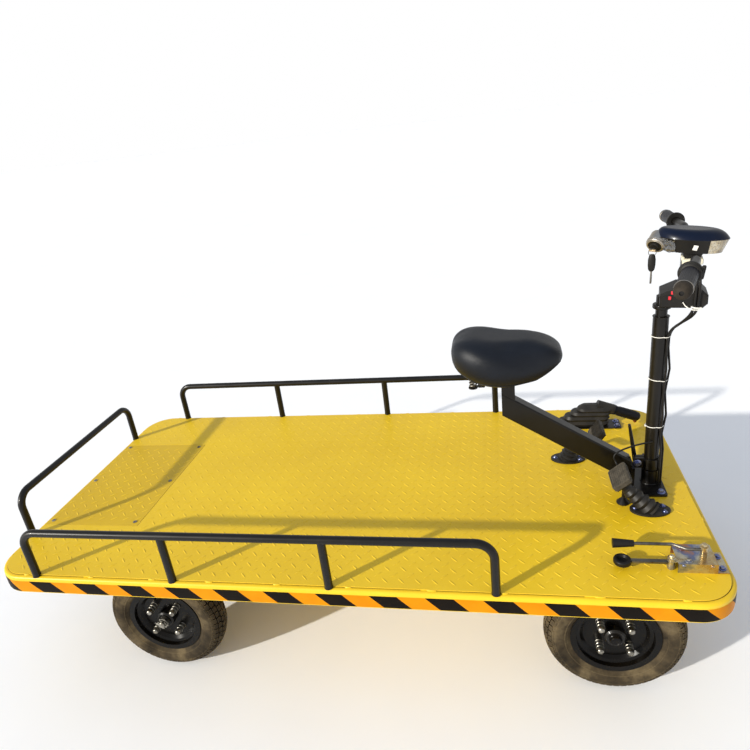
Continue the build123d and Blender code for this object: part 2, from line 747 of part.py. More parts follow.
with BuildPart() as handlebar:
    with BuildLine() as bar_path:
        FilletPolyline(*BAR_POINTS, radius=BAR_BEND_R)
    with BuildSketch(rod_plane(tuple(BAR_POINTS[0]), tuple(BAR_POINTS[1]))):
        Circle(BAR_D / 2)
    sweep(path=bar_path.wires()[0])
save(handlebar, "handlebar")

# Rubber grips, each with an inner flange and a closed end
GRIP_LENGTH = gap(tuple(BAR_IN[0]), tuple(BAR_OUT[0]))
with BuildPart() as grips:
    for inner, outer in zip(BAR_IN, BAR_OUT):
        grip_plane = rod_plane(tuple(inner), tuple(outer))
        profile = Plane(origin=grip_plane.origin, x_dir=grip_plane.x_dir, z_dir=-grip_plane.y_dir)
        with BuildSketch(profile):
            with BuildLine():
                Polyline(
                    (BAR_D / 2 + FIT_GAP, 0),
                    (GRIP_FLANGE_D / 2, 0),
                    (GRIP_FLANGE_D / 2, GRIP_FLANGE_T),
                    (GRIP_D / 2, 1.5 * GRIP_FLANGE_T),
                    (GRIP_D / 2, GRIP_LENGTH - GRIP_BULGE),
                    (GRIP_END_D / 2, GRIP_LENGTH - GRIP_BULGE / 2),
                    (GRIP_END_D / 2, GRIP_LENGTH),
                    (GRIP_D / 2 - GRIP_CAP_T / 2, GRIP_LENGTH + GRIP_CAP_T),
                    (0, GRIP_LENGTH + GRIP_CAP_T),
                    (0, GRIP_LENGTH + FIT_GAP),
                    (BAR_D / 2 + FIT_GAP, GRIP_LENGTH + FIT_GAP),
                    close=True,
                )
            make_face()
        revolve(axis=Axis(grip_plane.origin, grip_plane.z_dir))
save(grips, "grips")

# Lamp pod: lower body on a neck, a domed cover, a front lens and a lock
CLAMP_TOP = BAR_Z + BAR_D / 2 + CLAMP_WALL
POD_BOTTOM = BAR_Z + POD_LIFT
POD_SPLIT = BAR_Z + POD_SEAM
POD_TOP = BAR_Z + POD_CROWN
POD_LENGTH = POD_FRONT - POD_BACK
POD_MID = (POD_FRONT + POD_BACK) / 2
LENS_BACK = POD_FRONT - LENS_LENGTH
# the pod's own frame: the head's, turned about the middle of the bar
POD = HEAD.location * Location((BAR_X, 0, BAR_Z), (0, POD_PITCH, 0)) * Location((-BAR_X, 0, -BAR_Z))


def pod_level(z, shift=0.0):
    """Pod outline plane at a height above the deck."""
    return Plane(POD * Location((POD_MID + shift, 0, z)))


with BuildPart() as pod_block:
    with BuildSketch(pod_level(POD_BOTTOM)):
        Ellipse(POD_LENGTH / 2 - POD_UNDERCUT, POD_WIDTH / 2 - POD_UNDERCUT)
    with BuildSketch(pod_level(POD_SPLIT)):
        Ellipse(POD_LENGTH / 2, POD_WIDTH / 2)
    loft()

LENS_CUT = Plane(POD * Location((LENS_BACK, 0, (POD_BOTTOM + POD_SPLIT) / 2)))
with BuildPart() as display_body:
    add(pod_block.part)
    with Locations(LENS_CUT.location):
        Box(
            2 * LENS_LENGTH,
            2 * POD_WIDTH,
            2 * POD_WIDTH,
            align=(Align.MIN, Align.CENTER, Align.CENTER),
            mode=Mode.SUBTRACT,
        )
    with BuildSketch(Plane(HEAD.location * Location((BAR_X, 0, CLAMP_TOP)))):
        RectangleRounded(POD_NECK, POD_NECK, POD_NECK_R)
    with BuildSketch(pod_level(POD_BOTTOM, BAR_X - POD_MID)):
        RectangleRounded(POD_NECK_TOP, POD_NECK_TOP, POD_NECK_R)
    loft()
save(display_body, "display_body")

with BuildPart() as headlight_lens:
    add(pod_block.part)
    with Locations(LENS_CUT.location):
        Box(
            2 * POD_LENGTH,
            2 * POD_WIDTH,
            2 * POD_WIDTH,
            align=(Align.MAX, Align.CENTER, Align.CENTER),
            mode=Mode.SUBTRACT,
        )
save(headlight_lens, "headlight_lens")

with BuildPart() as display_cover:
    with BuildSketch(pod_level(POD_SPLIT)):
        Ellipse(POD_LENGTH / 2, POD_WIDTH / 2)
    with BuildSketch(pod_level(POD_SPLIT + COVER_WAIST, POD_SHIFT / 2)):
        Ellipse(POD_LENGTH / 2 - COVER_INSETS[0], POD_WIDTH / 2 - COVER_INSETS[0])
    with BuildSketch(pod_level(POD_TOP, POD_SHIFT)):
        Ellipse(POD_LENGTH / 2 - COVER_INSETS[1], POD_WIDTH / 2 - COVER_INSETS[1])
    loft()
save(display_cover, "display_cover")

# The lock hangs under the back of the pod and faces down to the right
LOCK_AT = HEAD.from_local_coords((LOCK_FACE[0], LOCK_FACE[1], BAR_Z + LOCK_FACE[2]))
LOCK_DIR = (HEAD.from_local_coords(LOCK_AIM) - HEAD.origin).normalized()
LOCK = Plane(LOCK_AT, z_dir=LOCK_DIR)
with BuildPart() as ignition_lock:
    with Locations(LOCK.location):
        Cylinder(
            LOCK_D / 2,
            LOCK_LENGTH,
            align=(Align.CENTER, Align.CENTER, Align.MAX),
        )
    lock_rim = ignition_lock.faces().sort_by(Axis(LOCK_AT, LOCK_DIR))[-1].edges()
    fillet(lock_rim, radius=LOCK_EDGE_R)
    add(pod_block.part, mode=Mode.SUBTRACT)
    add(display_cover.part, mode=Mode.SUBTRACT)
save(ignition_lock, "ignition_lock")

# Ignition key in the lock, with a fob hanging from its head
FOB_AT = LOCK_AT + LOCK_DIR * (KEY_LENGTH - FOB_T / 2)
FOB_TOP = Location(FOB_AT, (0, 0, HEAD_TURN)) * Location((0, 0, KEY_T))
with BuildPart() as ignition_key:
    with Locations(LOCK.location):
        Box(
            KEY_WIDTH,
            KEY_T,
            KEY_LENGTH,
            align=(Align.CENTER, Align.CENTER, Align.MIN),
        )
    with Locations(FOB_TOP):
        Box(
            FOB_WIDTH,
            FOB_T,
            FOB_HEIGHT,
            align=(Align.CENTER, Align.CENTER, Align.MAX),
        )
        Box(
            FOB_TAIL[0],
            FOB_TAIL[1],
            FOB_HEIGHT + FOB_TAIL[2],
            align=(Align.CENTER, Align.CENTER, Align.MAX),
        )
save(ignition_key, "ignition_key")

# Saddle arm: rectangular tube from its foot plate up to the seat plate
ARM_DIR = Vector(-math.cos(math.radians(ARM_ANGLE)), 0, math.sin(math.radians(ARM_ANGLE)))
ARM_START = Vector(COLUMN_AX, 0, DECK_TOP + ARM_FOOT_Z)
ARM_RUN = ARM_HEAD / math.cos(math.radians(ARM_ANGLE)) + ARM_TUBE_H
ARM_PLATE_X = COLUMN_AX - EAR_END - ARM_GAP
SEAT_PLATE_Z = DECK_TOP + SEAT_BOTTOM - SEAT_PLATE_T
with BuildPart() as seat_arm:
    with BuildSketch(Plane(origin=ARM_START, x_dir=(0, 1, 0), z_dir=ARM_DIR)):
        RectangleRounded(ARM_TUBE_W, ARM_TUBE_H, ARM_TUBE_R)
    extrude(amount=ARM_RUN)
    # trimmed to the foot plate, the base plate and the upright at its head
    with Locations((ARM_PLATE_X - ARM_PLATE_T, 0, DECK_TOP)):
        Box(
            ARM_RUN,
            BASE_WIDTH,
            COLUMN_TOP,
            align=(Align.MIN, Align.CENTER, Align.CENTER),
            mode=Mode.SUBTRACT,
        )
    with Locations((ARM_PLATE_X, 0, DECK_TOP + BASE_T)):
        Box(
            ARM_RUN,
            BASE_WIDTH,
            COLUMN_TOP,
            align=(Align.CENTER, Align.CENTER, Align.MAX),
            mode=Mode.SUBTRACT,
        )
    with Locations((COLUMN_AX - ARM_HEAD, 0, DECK_TOP)):
        Box(
            ARM_RUN,
            BASE_WIDTH,
            COLUMN_TOP,
            align=(Align.MAX, Align.CENTER, Align.MIN),
            mode=Mode.SUBTRACT,
        )
    with Locations((ARM_PLATE_X, 0, DECK_TOP + BASE_T)):
        Box(
            ARM_PLATE_T,
            ARM_PLATE_WIDTH,
            ARM_PLATE_HEIGHT,
            align=(Align.MAX, Align.CENTER, Align.MIN),
        )
    with Locations((COLUMN_AX - ARM_HEAD, 0, SEAT_PLATE_Z)):
        Box(
            SEAT_POST,
            SEAT_POST,
            SEAT_POST_H,
            align=(Align.MIN, Align.CENTER, Align.MAX),
        )
        Box(
            ARM_RUN,
            BASE_WIDTH,
            COLUMN_TOP,
            align=(Align.CENTER, Align.CENTER, Align.MIN),
            mode=Mode.SUBTRACT,
        )
save(seat_arm, "seat_arm")

# Seat plate under the saddle
with BuildPart() as seat_plate:
    with BuildSketch(Plane.XY.offset(SEAT_PLATE_Z)):
        with Locations((COLUMN_AX - SEAT_PLATE_X, 0)):
            RectangleRounded(SEAT_PLATE_LENGTH, SEAT_PLATE_WIDTH, SEAT_PLATE_R)
    extrude(amount=SEAT_PLATE_T)
save(seat_plate, "seat_plate")

# Saddle: rounded sections, wide at the back and narrow at the nose, and a
# flat underside where it rests on its plate
with BuildPart() as seat_cushion:
    for reach, width, low, high in SEAT_SECTIONS:
        middle = (COLUMN_AX - SEAT_BACK + reach, 0, DECK_TOP + (low + high) / 2)
        with BuildSketch(Plane(middle, x_dir=(0, 1, 0), z_dir=(1, 0, 0))):
            RectangleRounded(width, high - low, SEAT_ROUND * (high - low))
    loft()
    with Locations((COLUMN_AX - SEAT_PLATE_X, 0, DECK_TOP + SEAT_BOTTOM + SEAT_GAP)):
        Box(
            2 * SEAT_BACK,
            2 * SEAT_BACK,
            SEAT_BOTTOM,
            align=(Align.CENTER, Align.CENTER, Align.MAX),
            mode=Mode.SUBTRACT,
        )
save(seat_cushion, "seat_cushion")

# Foot pedals: ribbed boots on flanges, rods and rubber pads
with BuildPart() as pedal_boots:
    for flange, top, pad, tilt in PEDALS:
        foot = (COLUMN_AX + flange[0], flange[1], DECK_TOP)
        head = (COLUMN_AX + top[0], top[1], DECK_TOP + top[2])
        with BuildSketch(Plane.XY.offset(DECK_TOP)):
            with Locations((foot[0], foot[1])):
                Ellipse(BOOT_FLANGE_LENGTH / 2, BOOT_FLANGE_WIDTH / 2)
        extrude(amount=BOOT_FLANGE_T)
        start = (foot[0], foot[1], DECK_TOP + BOOT_FLANGE_T)
        lean = rod_plane(start, head)
        length = gap(start, head)
        step = length / BOOT_RINGS
        with BuildSketch(Plane(lean.origin, x_dir=lean.x_dir, z_dir=-lean.y_dir)):
            with BuildLine():
                points = [(PEDAL_ROD_D / 2 + FIT_GAP, -BOOT_SKIRT)]
                points += [(BOOT_D_LOW / 2, -BOOT_SKIRT)]
                for i in range(BOOT_RINGS):
                    share = (i + 0.5) / BOOT_RINGS
                    ring = BOOT_D_LOW / 2 + share * (BOOT_D_TOP - BOOT_D_LOW) / 2
                    points += [(ring - BOOT_FOLD, i * step), (ring, (i + 0.5) * step)]
                points += [(BOOT_D_TOP / 2 - BOOT_FOLD, length)]
                points += [(PEDAL_ROD_D / 2 + FIT_GAP, length)]
                Polyline(*points, close=True)
            make_face()
        revolve(axis=Axis(lean.origin, lean.z_dir))
        with Locations((foot[0], foot[1], DECK_TOP)):
            Box(
                2 * BOOT_FLANGE_LENGTH,
                2 * BOOT_FLANGE_WIDTH,
                BOOT_D_LOW,
                align=(Align.CENTER, Align.CENTER, Align.MAX),
                mode=Mode.SUBTRACT,
            )
save(pedal_boots, "pedal_boots")


def pad_plane(pad, tilt):
    """Plane of a pedal's back plate, across in Y, facing up and back."""
    slope = math.radians(tilt)
    place = (COLUMN_AX + pad[0], pad[1], DECK_TOP + pad[2])
    return Plane(place, x_dir=(0, 1, 0), z_dir=(-math.sin(slope), 0, math.cos(slope)))


with BuildPart() as pedal_rods:
    for (flange, top, pad, tilt), vias in zip(PEDALS, PEDAL_VIAS):
        start = Vector(COLUMN_AX + flange[0], flange[1], DECK_TOP + BOOT_FLANGE_T)
        head = Vector(COLUMN_AX + top[0], top[1], DECK_TOP + top[2])
        lean = (head - start).normalized()
        plate = pad_plane(pad, tilt)
        bend = head + lean * PEDAL_BEND
        with BuildLine() as rod_path:
            rod_foot = start + lean * PEDAL_ROD_D / 2
            turns = [Vector(COLUMN_AX + x, y, DECK_TOP + z) for x, y, z in vias]
            FilletPolyline(rod_foot, bend, *turns, plate.origin, radius=PEDAL_ROD_BEND_R)
        with BuildSketch(Plane(rod_foot, z_dir=lean)):
            Circle(PEDAL_ROD_D / 2)
        sweep(path=rod_path.wires()[0])
        with Locations(plate.location):
            Box(
                PAD_WIDTH,
                PAD_LENGTH,
                PAD_LENGTH,
                align=(Align.CENTER, Align.CENTER, Align.MIN),
                mode=Mode.SUBTRACT,
            )
            Box(
                PAD_WIDTH - 2 * PAD_LIP,
                PAD_LENGTH - 2 * PAD_LIP,
                PAD_PLATE_T,
                align=(Align.CENTER, Align.CENTER, Align.MAX),
            )
save(pedal_rods, "pedal_rods")

with BuildPart() as pedal_pads:
    for flange, top, pad, tilt in PEDALS:
        with BuildSketch(pad_plane(pad, tilt)):
            RectangleRounded(PAD_WIDTH, PAD_LENGTH, PAD_CORNER_R)
        extrude(amount=PAD_T)
save(pedal_pads, "pedal_pads")

# Stop under the brake pedal
STOP_X = COLUMN_AX + STOP_POINT[0]
STOP_TOP = DECK_TOP + PEDALS[0][2][2] - STOP_BELOW_PAD
with BuildPart() as pedal_stop:
    with BuildSketch(Plane.XZ.offset(-STOP_POINT[1])):
        with BuildLine():
            Polyline(
                (STOP_X, DECK_TOP),
                (STOP_X + STOP_FOOT_D / 2, DECK_TOP),
                (STOP_X + STOP_FOOT_D / 2, DECK_TOP + STOP_FOOT_T),
                (STOP_X + STOP_STEM_D / 2, DECK_TOP + STOP_FLARE_H),
                (STOP_X + STOP_STEM_D / 2, STOP_TOP),
                (STOP_X, STOP_TOP),
                close=True,
            )
        make_face()
    revolve(axis=Axis((STOP_X, STOP_POINT[1], 0), (0, 0, 1)))
    add(pedal_rods.part, mode=Mode.SUBTRACT)
save(pedal_stop, "pedal_stop")

# Parking brake: plate, folded boot and lever
with BuildPart() as brake_plate:
    with BuildSketch(Plane.XY.offset(DECK_TOP)):
        with Locations((COLUMN_AX + BRAKE_BACK + BRAKE_LENGTH / 2, BRAKE_Y)):
            RectangleRounded(BRAKE_LENGTH, BRAKE_WIDTH, BRAKE_PLATE_R)
    extrude(amount=BRAKE_PLATE_T)
save(brake_plate, "brake_plate")

BRAKE_FLOOR = DECK_TOP + BRAKE_PLATE_T
BRAKE_MOUTH = Location(
    (COLUMN_AX + BRAKE_NECK[0], BRAKE_Y, DECK_TOP + BRAKE_NECK[1]),
    (0, 90 - BRAKE_GRIP_TILT, 0),
)
# Each fold goes from a valley over its ridge to the next valley; the last
# one closes over to the crown of the boot
BRAKE_STACK = []
valley = 0.0
for ridge, back, front in BRAKE_FOLDS:
    upper = 2 * ridge - valley
    BRAKE_STACK.append((back, front, ((valley, BRAKE_FOLD_DEPTH), (ridge, 0.0), (upper, BRAKE_FOLD_DEPTH))))
    valley = upper
crown = ((valley, BRAKE_FOLD_DEPTH), (valley + BRAKE_CROWN, BRAKE_CROWN_INSET))
BRAKE_STACK.append((back, front, crown))
with BuildPart() as brake_boot:
    for back, front, levels in BRAKE_STACK:
        for level, inset in levels:
            with BuildSketch(Plane.XY.offset(BRAKE_FLOOR + level)):
                with Locations((COLUMN_AX + (back + front) / 2, BRAKE_Y)):
                    SlotOverall(front - back - 2 * inset, BRAKE_FOLD_WIDTH - 2 * inset)
        loft(ruled=True)
    with Locations(BRAKE_MOUTH):
        Cylinder(
            BRAKE_NECK_D / 2,
            BRAKE_NECK_LENGTH,
            align=(Align.CENTER, Align.CENTER, Align.MAX),
        )
        Cylinder(
            BRAKE_ROD_D / 2 + FIT_GAP,
            BRAKE_SOCKET,
            align=(Align.CENTER, Align.CENTER, Align.MAX),
            mode=Mode.SUBTRACT,
        )
save(brake_boot, "brake_boot")

with BuildPart() as brake_lever:
    with Locations(BRAKE_MOUTH * Location((0, 0, FIT_GAP - BRAKE_SOCKET))):
        Cylinder(
            BRAKE_ROD_D / 2,
            BRAKE_SOCKET + BRAKE_GRIP_LENGTH / 2,
            align=(Align.CENTER, Align.CENTER, Align.MIN),
        )
    with Locations(BRAKE_MOUTH * Location((0, 0, FIT_GAP))):
        Cylinder(
            BRAKE_GRIP_D / 2,
            BRAKE_GRIP_LENGTH,
            align=(Align.CENTER, Align.CENTER, Align.MIN),
        )
    grip_tip = brake_lever.faces().sort_by(Axis.X)[-1].edges()
    fillet(grip_tip, radius=BRAKE_GRIP_D / 5)
save(brake_lever, "brake_lever")

# Gear selector: plated bracket with a post and a roller, two levers and
# their knobs
GEAR_AX = COLUMN_AX + GEAR_X
GEAR_BACK = GEAR_AX - GEAR_LENGTH / 2
GEAR_FRONT = GEAR_AX + GEAR_LENGTH / 2
POST_X = GEAR_AX + GEAR_POST[0]
POST_Y = GEAR_Y + GEAR_POST[1]
ROLLER_X = GEAR_BACK - GEAR_ROLLER_X
ROLLER_Y = GEAR_Y + GEAR_ROLLER_Y
with BuildPart() as gear_bracket:
    with Locations((GEAR_AX, GEAR_Y, DECK_TOP)):
        Box(
            GEAR_LENGTH,
            GEAR_WIDTH,
            GEAR_HEIGHT,
            align=(Align.CENTER, Align.CENTER, Align.MIN),
        )
        Box(
            2 * GEAR_LENGTH,
            GEAR_WIDTH - 2 * GEAR_SHEET,
            GEAR_HEIGHT - GEAR_SHEET,
            align=(Align.CENTER, Align.CENTER, Align.MIN),
            mode=Mode.SUBTRACT,
        )
    with Locations((GEAR_FRONT - GEAR_SHEET, GEAR_Y, DECK_TOP)):
        Box(
            GEAR_SHEET,
            GEAR_WIDTH,
            GEAR_HEIGHT,
            align=(Align.MIN, Align.CENTER, Align.MIN),
        )
        Box(
            GEAR_SHEET + GEAR_FOOT,
            GEAR_WIDTH,
            GEAR_SHEET,
            align=(Align.MIN, Align.CENTER, Align.MIN),
        )
    with Locations((POST_X, POST_Y, DECK_TOP + GEAR_HEIGHT)):
        Cylinder(
            GEAR_POST_D / 2,
            GEAR_POST_H,
            align=(Align.CENTER, Align.CENTER, Align.MIN),
        )
    with Locations((GEAR_BACK + GEAR_SHEET, ROLLER_Y, DECK_TOP + GEAR_HEIGHT)):
        Box(
            GEAR_SHEET + GEAR_ROLLER_X,
            GEAR_ROLLER_D,
            GEAR_SHEET,
            align=(Align.MAX, Align.CENTER, Align.MAX),
        )
    with Locations((ROLLER_X, ROLLER_Y, DECK_TOP)):
        Cylinder(
            GEAR_ROLLER_D / 2,
            GEAR_ROLLER_H,
            align=(Align.CENTER, Align.CENTER, Align.MIN),
        )
save(gear_bracket, "gear_bracket")

ROD_Z = DECK_TOP + GEAR_HEIGHT + GEAR_POST_H - GEAR_ROD_DROP
ROD_POINTS = [(POST_X - GEAR_POST_D / 2 + FIT_GAP, POST_Y, ROD_Z)]
ROD_POINTS += [(POST_X - back, POST_Y + aside, ROD_Z) for back, aside in GEAR_ROD_STEPS]
LEVER_END = ROLLER_X - GEAR_ROLLER_D / 2 - FIT_GAP - GEAR_LEVER_LENGTH
with BuildPart() as gear_rods:
    with BuildLine() as upper_path:
        FilletPolyline(*ROD_POINTS, radius=GEAR_ROD_BEND_R)
    with BuildSketch(rod_plane(ROD_POINTS[0], ROD_POINTS[1])):
        Circle(GEAR_ROD_D / 2)
    sweep(path=upper_path.wires()[0])
    with Locations((POST_X, POST_Y, DECK_TOP + GEAR_HEIGHT)):
        Cylinder(
            GEAR_POST_D / 2 + FIT_GAP,
            2 * GEAR_POST_H,
            align=(Align.CENTER, Align.CENTER, Align.MIN),
            mode=Mode.SUBTRACT,
        )
    with Locations((LEVER_END, ROLLER_Y, DECK_TOP + GEAR_LEVER_Z)):
        Box(
            GEAR_LEVER_LENGTH,
            GEAR_LEVER_WIDTH,
            GEAR_LEVER_T,
            align=(Align.MIN, Align.CENTER, Align.CENTER),
        )
save(gear_rods, "gear_rods")

# Tapered grip on the upper lever, dished cup on the lower one
with BuildPart() as gear_knobs:
    with Locations(Plane(ROD_POINTS[-1], z_dir=(-1, 0, 0)).location):
        Cone(
            GEAR_GRIP_FRONT_D / 2,
            GEAR_GRIP_REAR_D / 2,
            GEAR_GRIP_LENGTH,
            align=(Align.CENTER, Align.CENTER, Align.MIN),
        )
    cup_at = (LEVER_END - GEAR_CUP_D / 2 - FIT_GAP, ROLLER_Y, DECK_TOP + GEAR_LEVER_Z)
    with Locations(cup_at):
        Cylinder(GEAR_CUP_D / 2, GEAR_CUP_T)
    cup_rims = gear_knobs.solids().sort_by(Axis.Z)[0].edges().filter_by(GeomType.CIRCLE)
    fillet(cup_rims, radius=GEAR_CUP_EDGE_R)
    with Locations((cup_at[0], cup_at[1], cup_at[2] + GEAR_CUP_T / 2)):
        Cone(
            GEAR_CUP_D / 2 - GEAR_CUP_WALL - GEAR_CUP_DISH / 2,
            GEAR_CUP_D / 2 - GEAR_CUP_WALL,
            GEAR_CUP_DISH,
            align=(Align.CENTER, Align.CENTER, Align.MAX),
            mode=Mode.SUBTRACT,
        )
save(gear_knobs, "gear_knobs")

# Front axle: beam, kingpin eyes and two posts bolted to a cross bar
with BuildPart() as front_axle:
    with Locations((FRONT_AX, 0, WHEEL_Z)):
        Box(BEAM_X, 2 * KINGPIN_Y, BEAM_Z)
    for s in (-1, 1):
        with Locations((FRONT_AX, s * KINGPIN_Y, WHEEL_Z)):
            Cylinder(KINGPIN_EYE_D / 2, KINGPIN_EYE_H)
            Cylinder(KINGPIN_D / 2 + RUN_GAP, 2 * KINGPIN_EYE_H, mode=Mode.SUBTRACT)
        with Locations((FRONT_AX, s * BEAM_POST_Y, MEMBER_BOTTOM)):
            Box(
                BEAM_POST,
                BEAM_POST,
                MEMBER_BOTTOM - WHEEL_Z - BEAM_Z / 2 + WELD_LAP,
                align=(Align.CENTER, Align.CENTER, Align.MAX),
            )
            Box(
                BEAM_FLANGE,
                BEAM_FLANGE,
                BEAM_FLANGE_T,
                align=(Align.CENTER, Align.CENTER, Align.MAX),
            )
save(front_axle, "front_axle")

# Steering knuckles: fork, kingpin, spindle and steering arm in one forging
FORK_REACH = KINGPIN_EYE_D / 2 + FORK_CLEAR
SPINDLE_REACH = SPINDLE_END + FRONT_WHEEL_Y - KINGPIN_Y
for side, node in ((-1, "knuckle_right"), (1, "knuckle_left")):
    pin_y = side * KINGPIN_Y
    with BuildPart() as knuckle:
        with Locations((FRONT_AX, pin_y, WHEEL_Z)):
            Cylinder(KINGPIN_D / 2, 2 * FORK_OUT)
        for lug_z in (WHEEL_Z + FORK_IN, WHEEL_Z - FORK_OUT):
            with BuildSketch(Plane.XY.offset(lug_z)):
                with Locations((FRONT_AX, pin_y)):
                    Circle(KINGPIN_EYE_D / 2)
                with Locations((FRONT_AX, pin_y + side * (FORK_REACH + FORK_WEB) / 2)):
                    Rectangle(KINGPIN_EYE_D, FORK_REACH + FORK_WEB)
            extrude(amount=FORK_T)
        with Locations((FRONT_AX, pin_y + side * (FORK_REACH + FORK_WEB / 2), WHEEL_Z)):
            Box(KINGPIN_EYE_D, FORK_WEB, 2 * FORK_OUT)
        with Locations((FRONT_AX, pin_y + side * (FORK_REACH + SPINDLE_REACH) / 2, WHEEL_Z)):
            Cylinder(SPINDLE_D / 2, SPINDLE_REACH - FORK_REACH, rotation=(90, 0, 0))
        with BuildSketch(Plane.XY.offset(WHEEL_Z + FORK_IN)):
            with Locations((FRONT_AX + STEER_ARM / 2, pin_y)):
                SlotCenterToCenter(STEER_ARM, ARM_WIDTH)
        extrude(amount=ARM_T)
        pin_top = (DRAG_Z + EYE_T + STACK_GAP) if side < 0 else DRAG_Z
        with BuildSketch(Plane.XY.offset(ARM_TOP - WELD_LAP)):
            with Locations((FRONT_AX + STEER_ARM, pin_y)):
                Circle(PIN_D / 2)
        extrude(amount=pin_top - ARM_TOP + WELD_LAP)
    save(knuckle, node)

# Track rod and drag link: eyes joined by a round bar
LINKS = (
    ("tie_rod", (FRONT_AX + STEER_ARM, -KINGPIN_Y), (FRONT_AX + STEER_ARM, KINGPIN_Y), TIE_Z),
    ("drag_link", (FRONT_AX + STEER_ARM, -KINGPIN_Y), (COLUMN_AX + STEER_ARM, 0), DRAG_Z),
)
for node, a, b, z in LINKS:
    with BuildPart() as link:
        with BuildSketch(Plane.XY.offset(z)):
            with Locations(a, b):
                Circle(EYE_D / 2)
        extrude(amount=EYE_T)
        bar_a = (a[0], a[1], z + EYE_T / 2)
        bar_b = (b[0], b[1], z + EYE_T / 2)
        with BuildSketch(rod_plane(bar_a, bar_b)):
            Circle(ROD_D / 2)
        extrude(amount=gap(bar_a, bar_b))
        with BuildSketch(Plane.XY.offset(z)):
            with Locations(a, b):
                Circle(PIN_D / 2 + RUN_GAP)
        extrude(amount=EYE_T, mode=Mode.SUBTRACT)
    save(link, node)

# Rear axle: tube, gear case, spring pads, backing plates and spindles
HUB_IN = DISC_OFFSET - HUB_FLANGE_T - DRUM_DEPTH
BACKING_Y = REAR_WHEEL_Y + HUB_IN - BACKING_GAP - BACKING_T
REAR_SPINDLE = REAR_WHEEL_Y + SPINDLE_END
LEAF_BOTTOM = WHEEL_Z + AXLE_TUBE_D / 2 + LEAF_PAD_T
with BuildPart() as rear_axle:
    with Locations((REAR_AX, 0, WHEEL_Z)):
        Cylinder(AXLE_TUBE_D / 2, 2 * BACKING_Y, rotation=(90, 0, 0))
        Cylinder(SPINDLE_D / 2, 2 * REAR_SPINDLE, rotation=(90, 0, 0))
    for s in (-1, 1):
        with Locations((REAR_AX, s * (BACKING_Y + BACKING_T / 2), WHEEL_Z)):
            Cylinder(DRUM_R + BACKING_RIM, BACKING_T, rotation=(90, 0, 0))
        with Locations((REAR_AX, s * LEAF_Y, LEAF_BOTTOM)):
            Box(
                LEAF_PAD_LENGTH,
                LEAF_WIDTH,
                LEAF_PAD_T + AXLE_TUBE_D / 4,
                align=(Align.CENTER, Align.CENTER, Align.MAX),
            )
    with BuildSketch(Plane.XZ.offset(GEARCASE_W / 2)):
        with Locations((REAR_AX + MOTOR_AHEAD / 2, WHEEL_Z)):
            SlotCenterToCenter(MOTOR_AHEAD, GEARCASE_D)
    extrude(amount=-GEARCASE_W)
    case_rims = rear_axle.faces().filter_by(Axis.Y).sort_by(SortBy.AREA)[-2:]
    fillet(case_rims.edges().filter_by(GeomType.LINE), radius=GEARCASE_EDGE_R)
save(rear_axle, "rear_axle")

with BuildPart() as drive_motor:
    with BuildSketch(Plane.XZ.offset(-GEARCASE_W / 2)):
        with Locations((REAR_AX + MOTOR_AHEAD, WHEEL_Z)):
            Circle(MOTOR_D / 2)
    extrude(amount=-MOTOR_LENGTH)
    far_rim = drive_motor.faces().sort_by(Axis.Y)[-1].edges()
    fillet(far_rim, radius=MOTOR_EDGE_R)
save(drive_motor, "drive_motor")

# Leaf springs: stacked leaves with an eye at each end
LEAF_R = (LEAF_HALVES[0] ** 2 + LEAF_SAG**2) / (2 * LEAF_SAG)
LEAF_TOP = LEAF_BOTTOM + len(LEAF_HALVES) * LEAF_T
LEAF_CENTRE = LEAF_TOP + LEAF_R
EYE_Z = LEAF_CENTRE - math.sqrt(LEAF_R**2 - LEAF_HALVES[0] ** 2) + LEAF_EYE_D / 2 - LEAF_T
with BuildPart() as leaf_springs:
    for s in (-1, 1):
        side_plane = Plane.XZ.offset(-s * LEAF_Y - LEAF_WIDTH / 2)
        for i, half in enumerate(LEAF_HALVES):
            with BuildSketch(side_plane):
                with Locations((REAR_AX, LEAF_CENTRE)):
                    Circle(LEAF_R + LEAF_T * (i + 1))
                    Circle(LEAF_R + LEAF_T * i, mode=Mode.SUBTRACT)
                with Locations((REAR_AX, LEAF_BOTTOM)):
                    Rectangle(2 * half, LEAF_R, mode=Mode.INTERSECT)
            extrude(amount=LEAF_WIDTH)
        with BuildSketch(side_plane):
            with Locations(
                (REAR_AX - LEAF_HALVES[0], EYE_Z),
                (REAR_AX + LEAF_HALVES[0], EYE_Z),
            ):
                Circle(LEAF_EYE_D / 2)
        extrude(amount=LEAF_WIDTH)
        with BuildSketch(side_plane):
            with Locations(
                (REAR_AX - LEAF_HALVES[0], EYE_Z),
                (REAR_AX + LEAF_HALVES[0], EYE_Z),
            ):
                Circle(PIN_D / 2 + FIT_GAP)
        extrude(amount=LEAF_WIDTH, mode=Mode.SUBTRACT)
        # clip plate across the leaves, with the ends of its two U-bolts
        with Locations((REAR_AX, s * LEAF_Y, LEAF_TOP)):
            Box(
                LEAF_PAD_LENGTH,
                LEAF_WIDTH,
                CLIP_PLATE_T,
                align=(Align.CENTER, Align.CENTER, Align.MIN),
            )
        with Locations((REAR_AX, s * LEAF_Y, LEAF_TOP)):
            with GridLocations(LEAF_PAD_LENGTH - 2 * CLIP_INSET, LEAF_WIDTH - 2 * CLIP_INSET, 2, 2):
                Cylinder(
                    CLIP_D / 2,
                    CLIP_PLATE_T + CLIP_STUB,
                    align=(Align.CENTER, Align.CENTER, Align.MIN),
                )
save(leaf_springs, "leaf_springs")

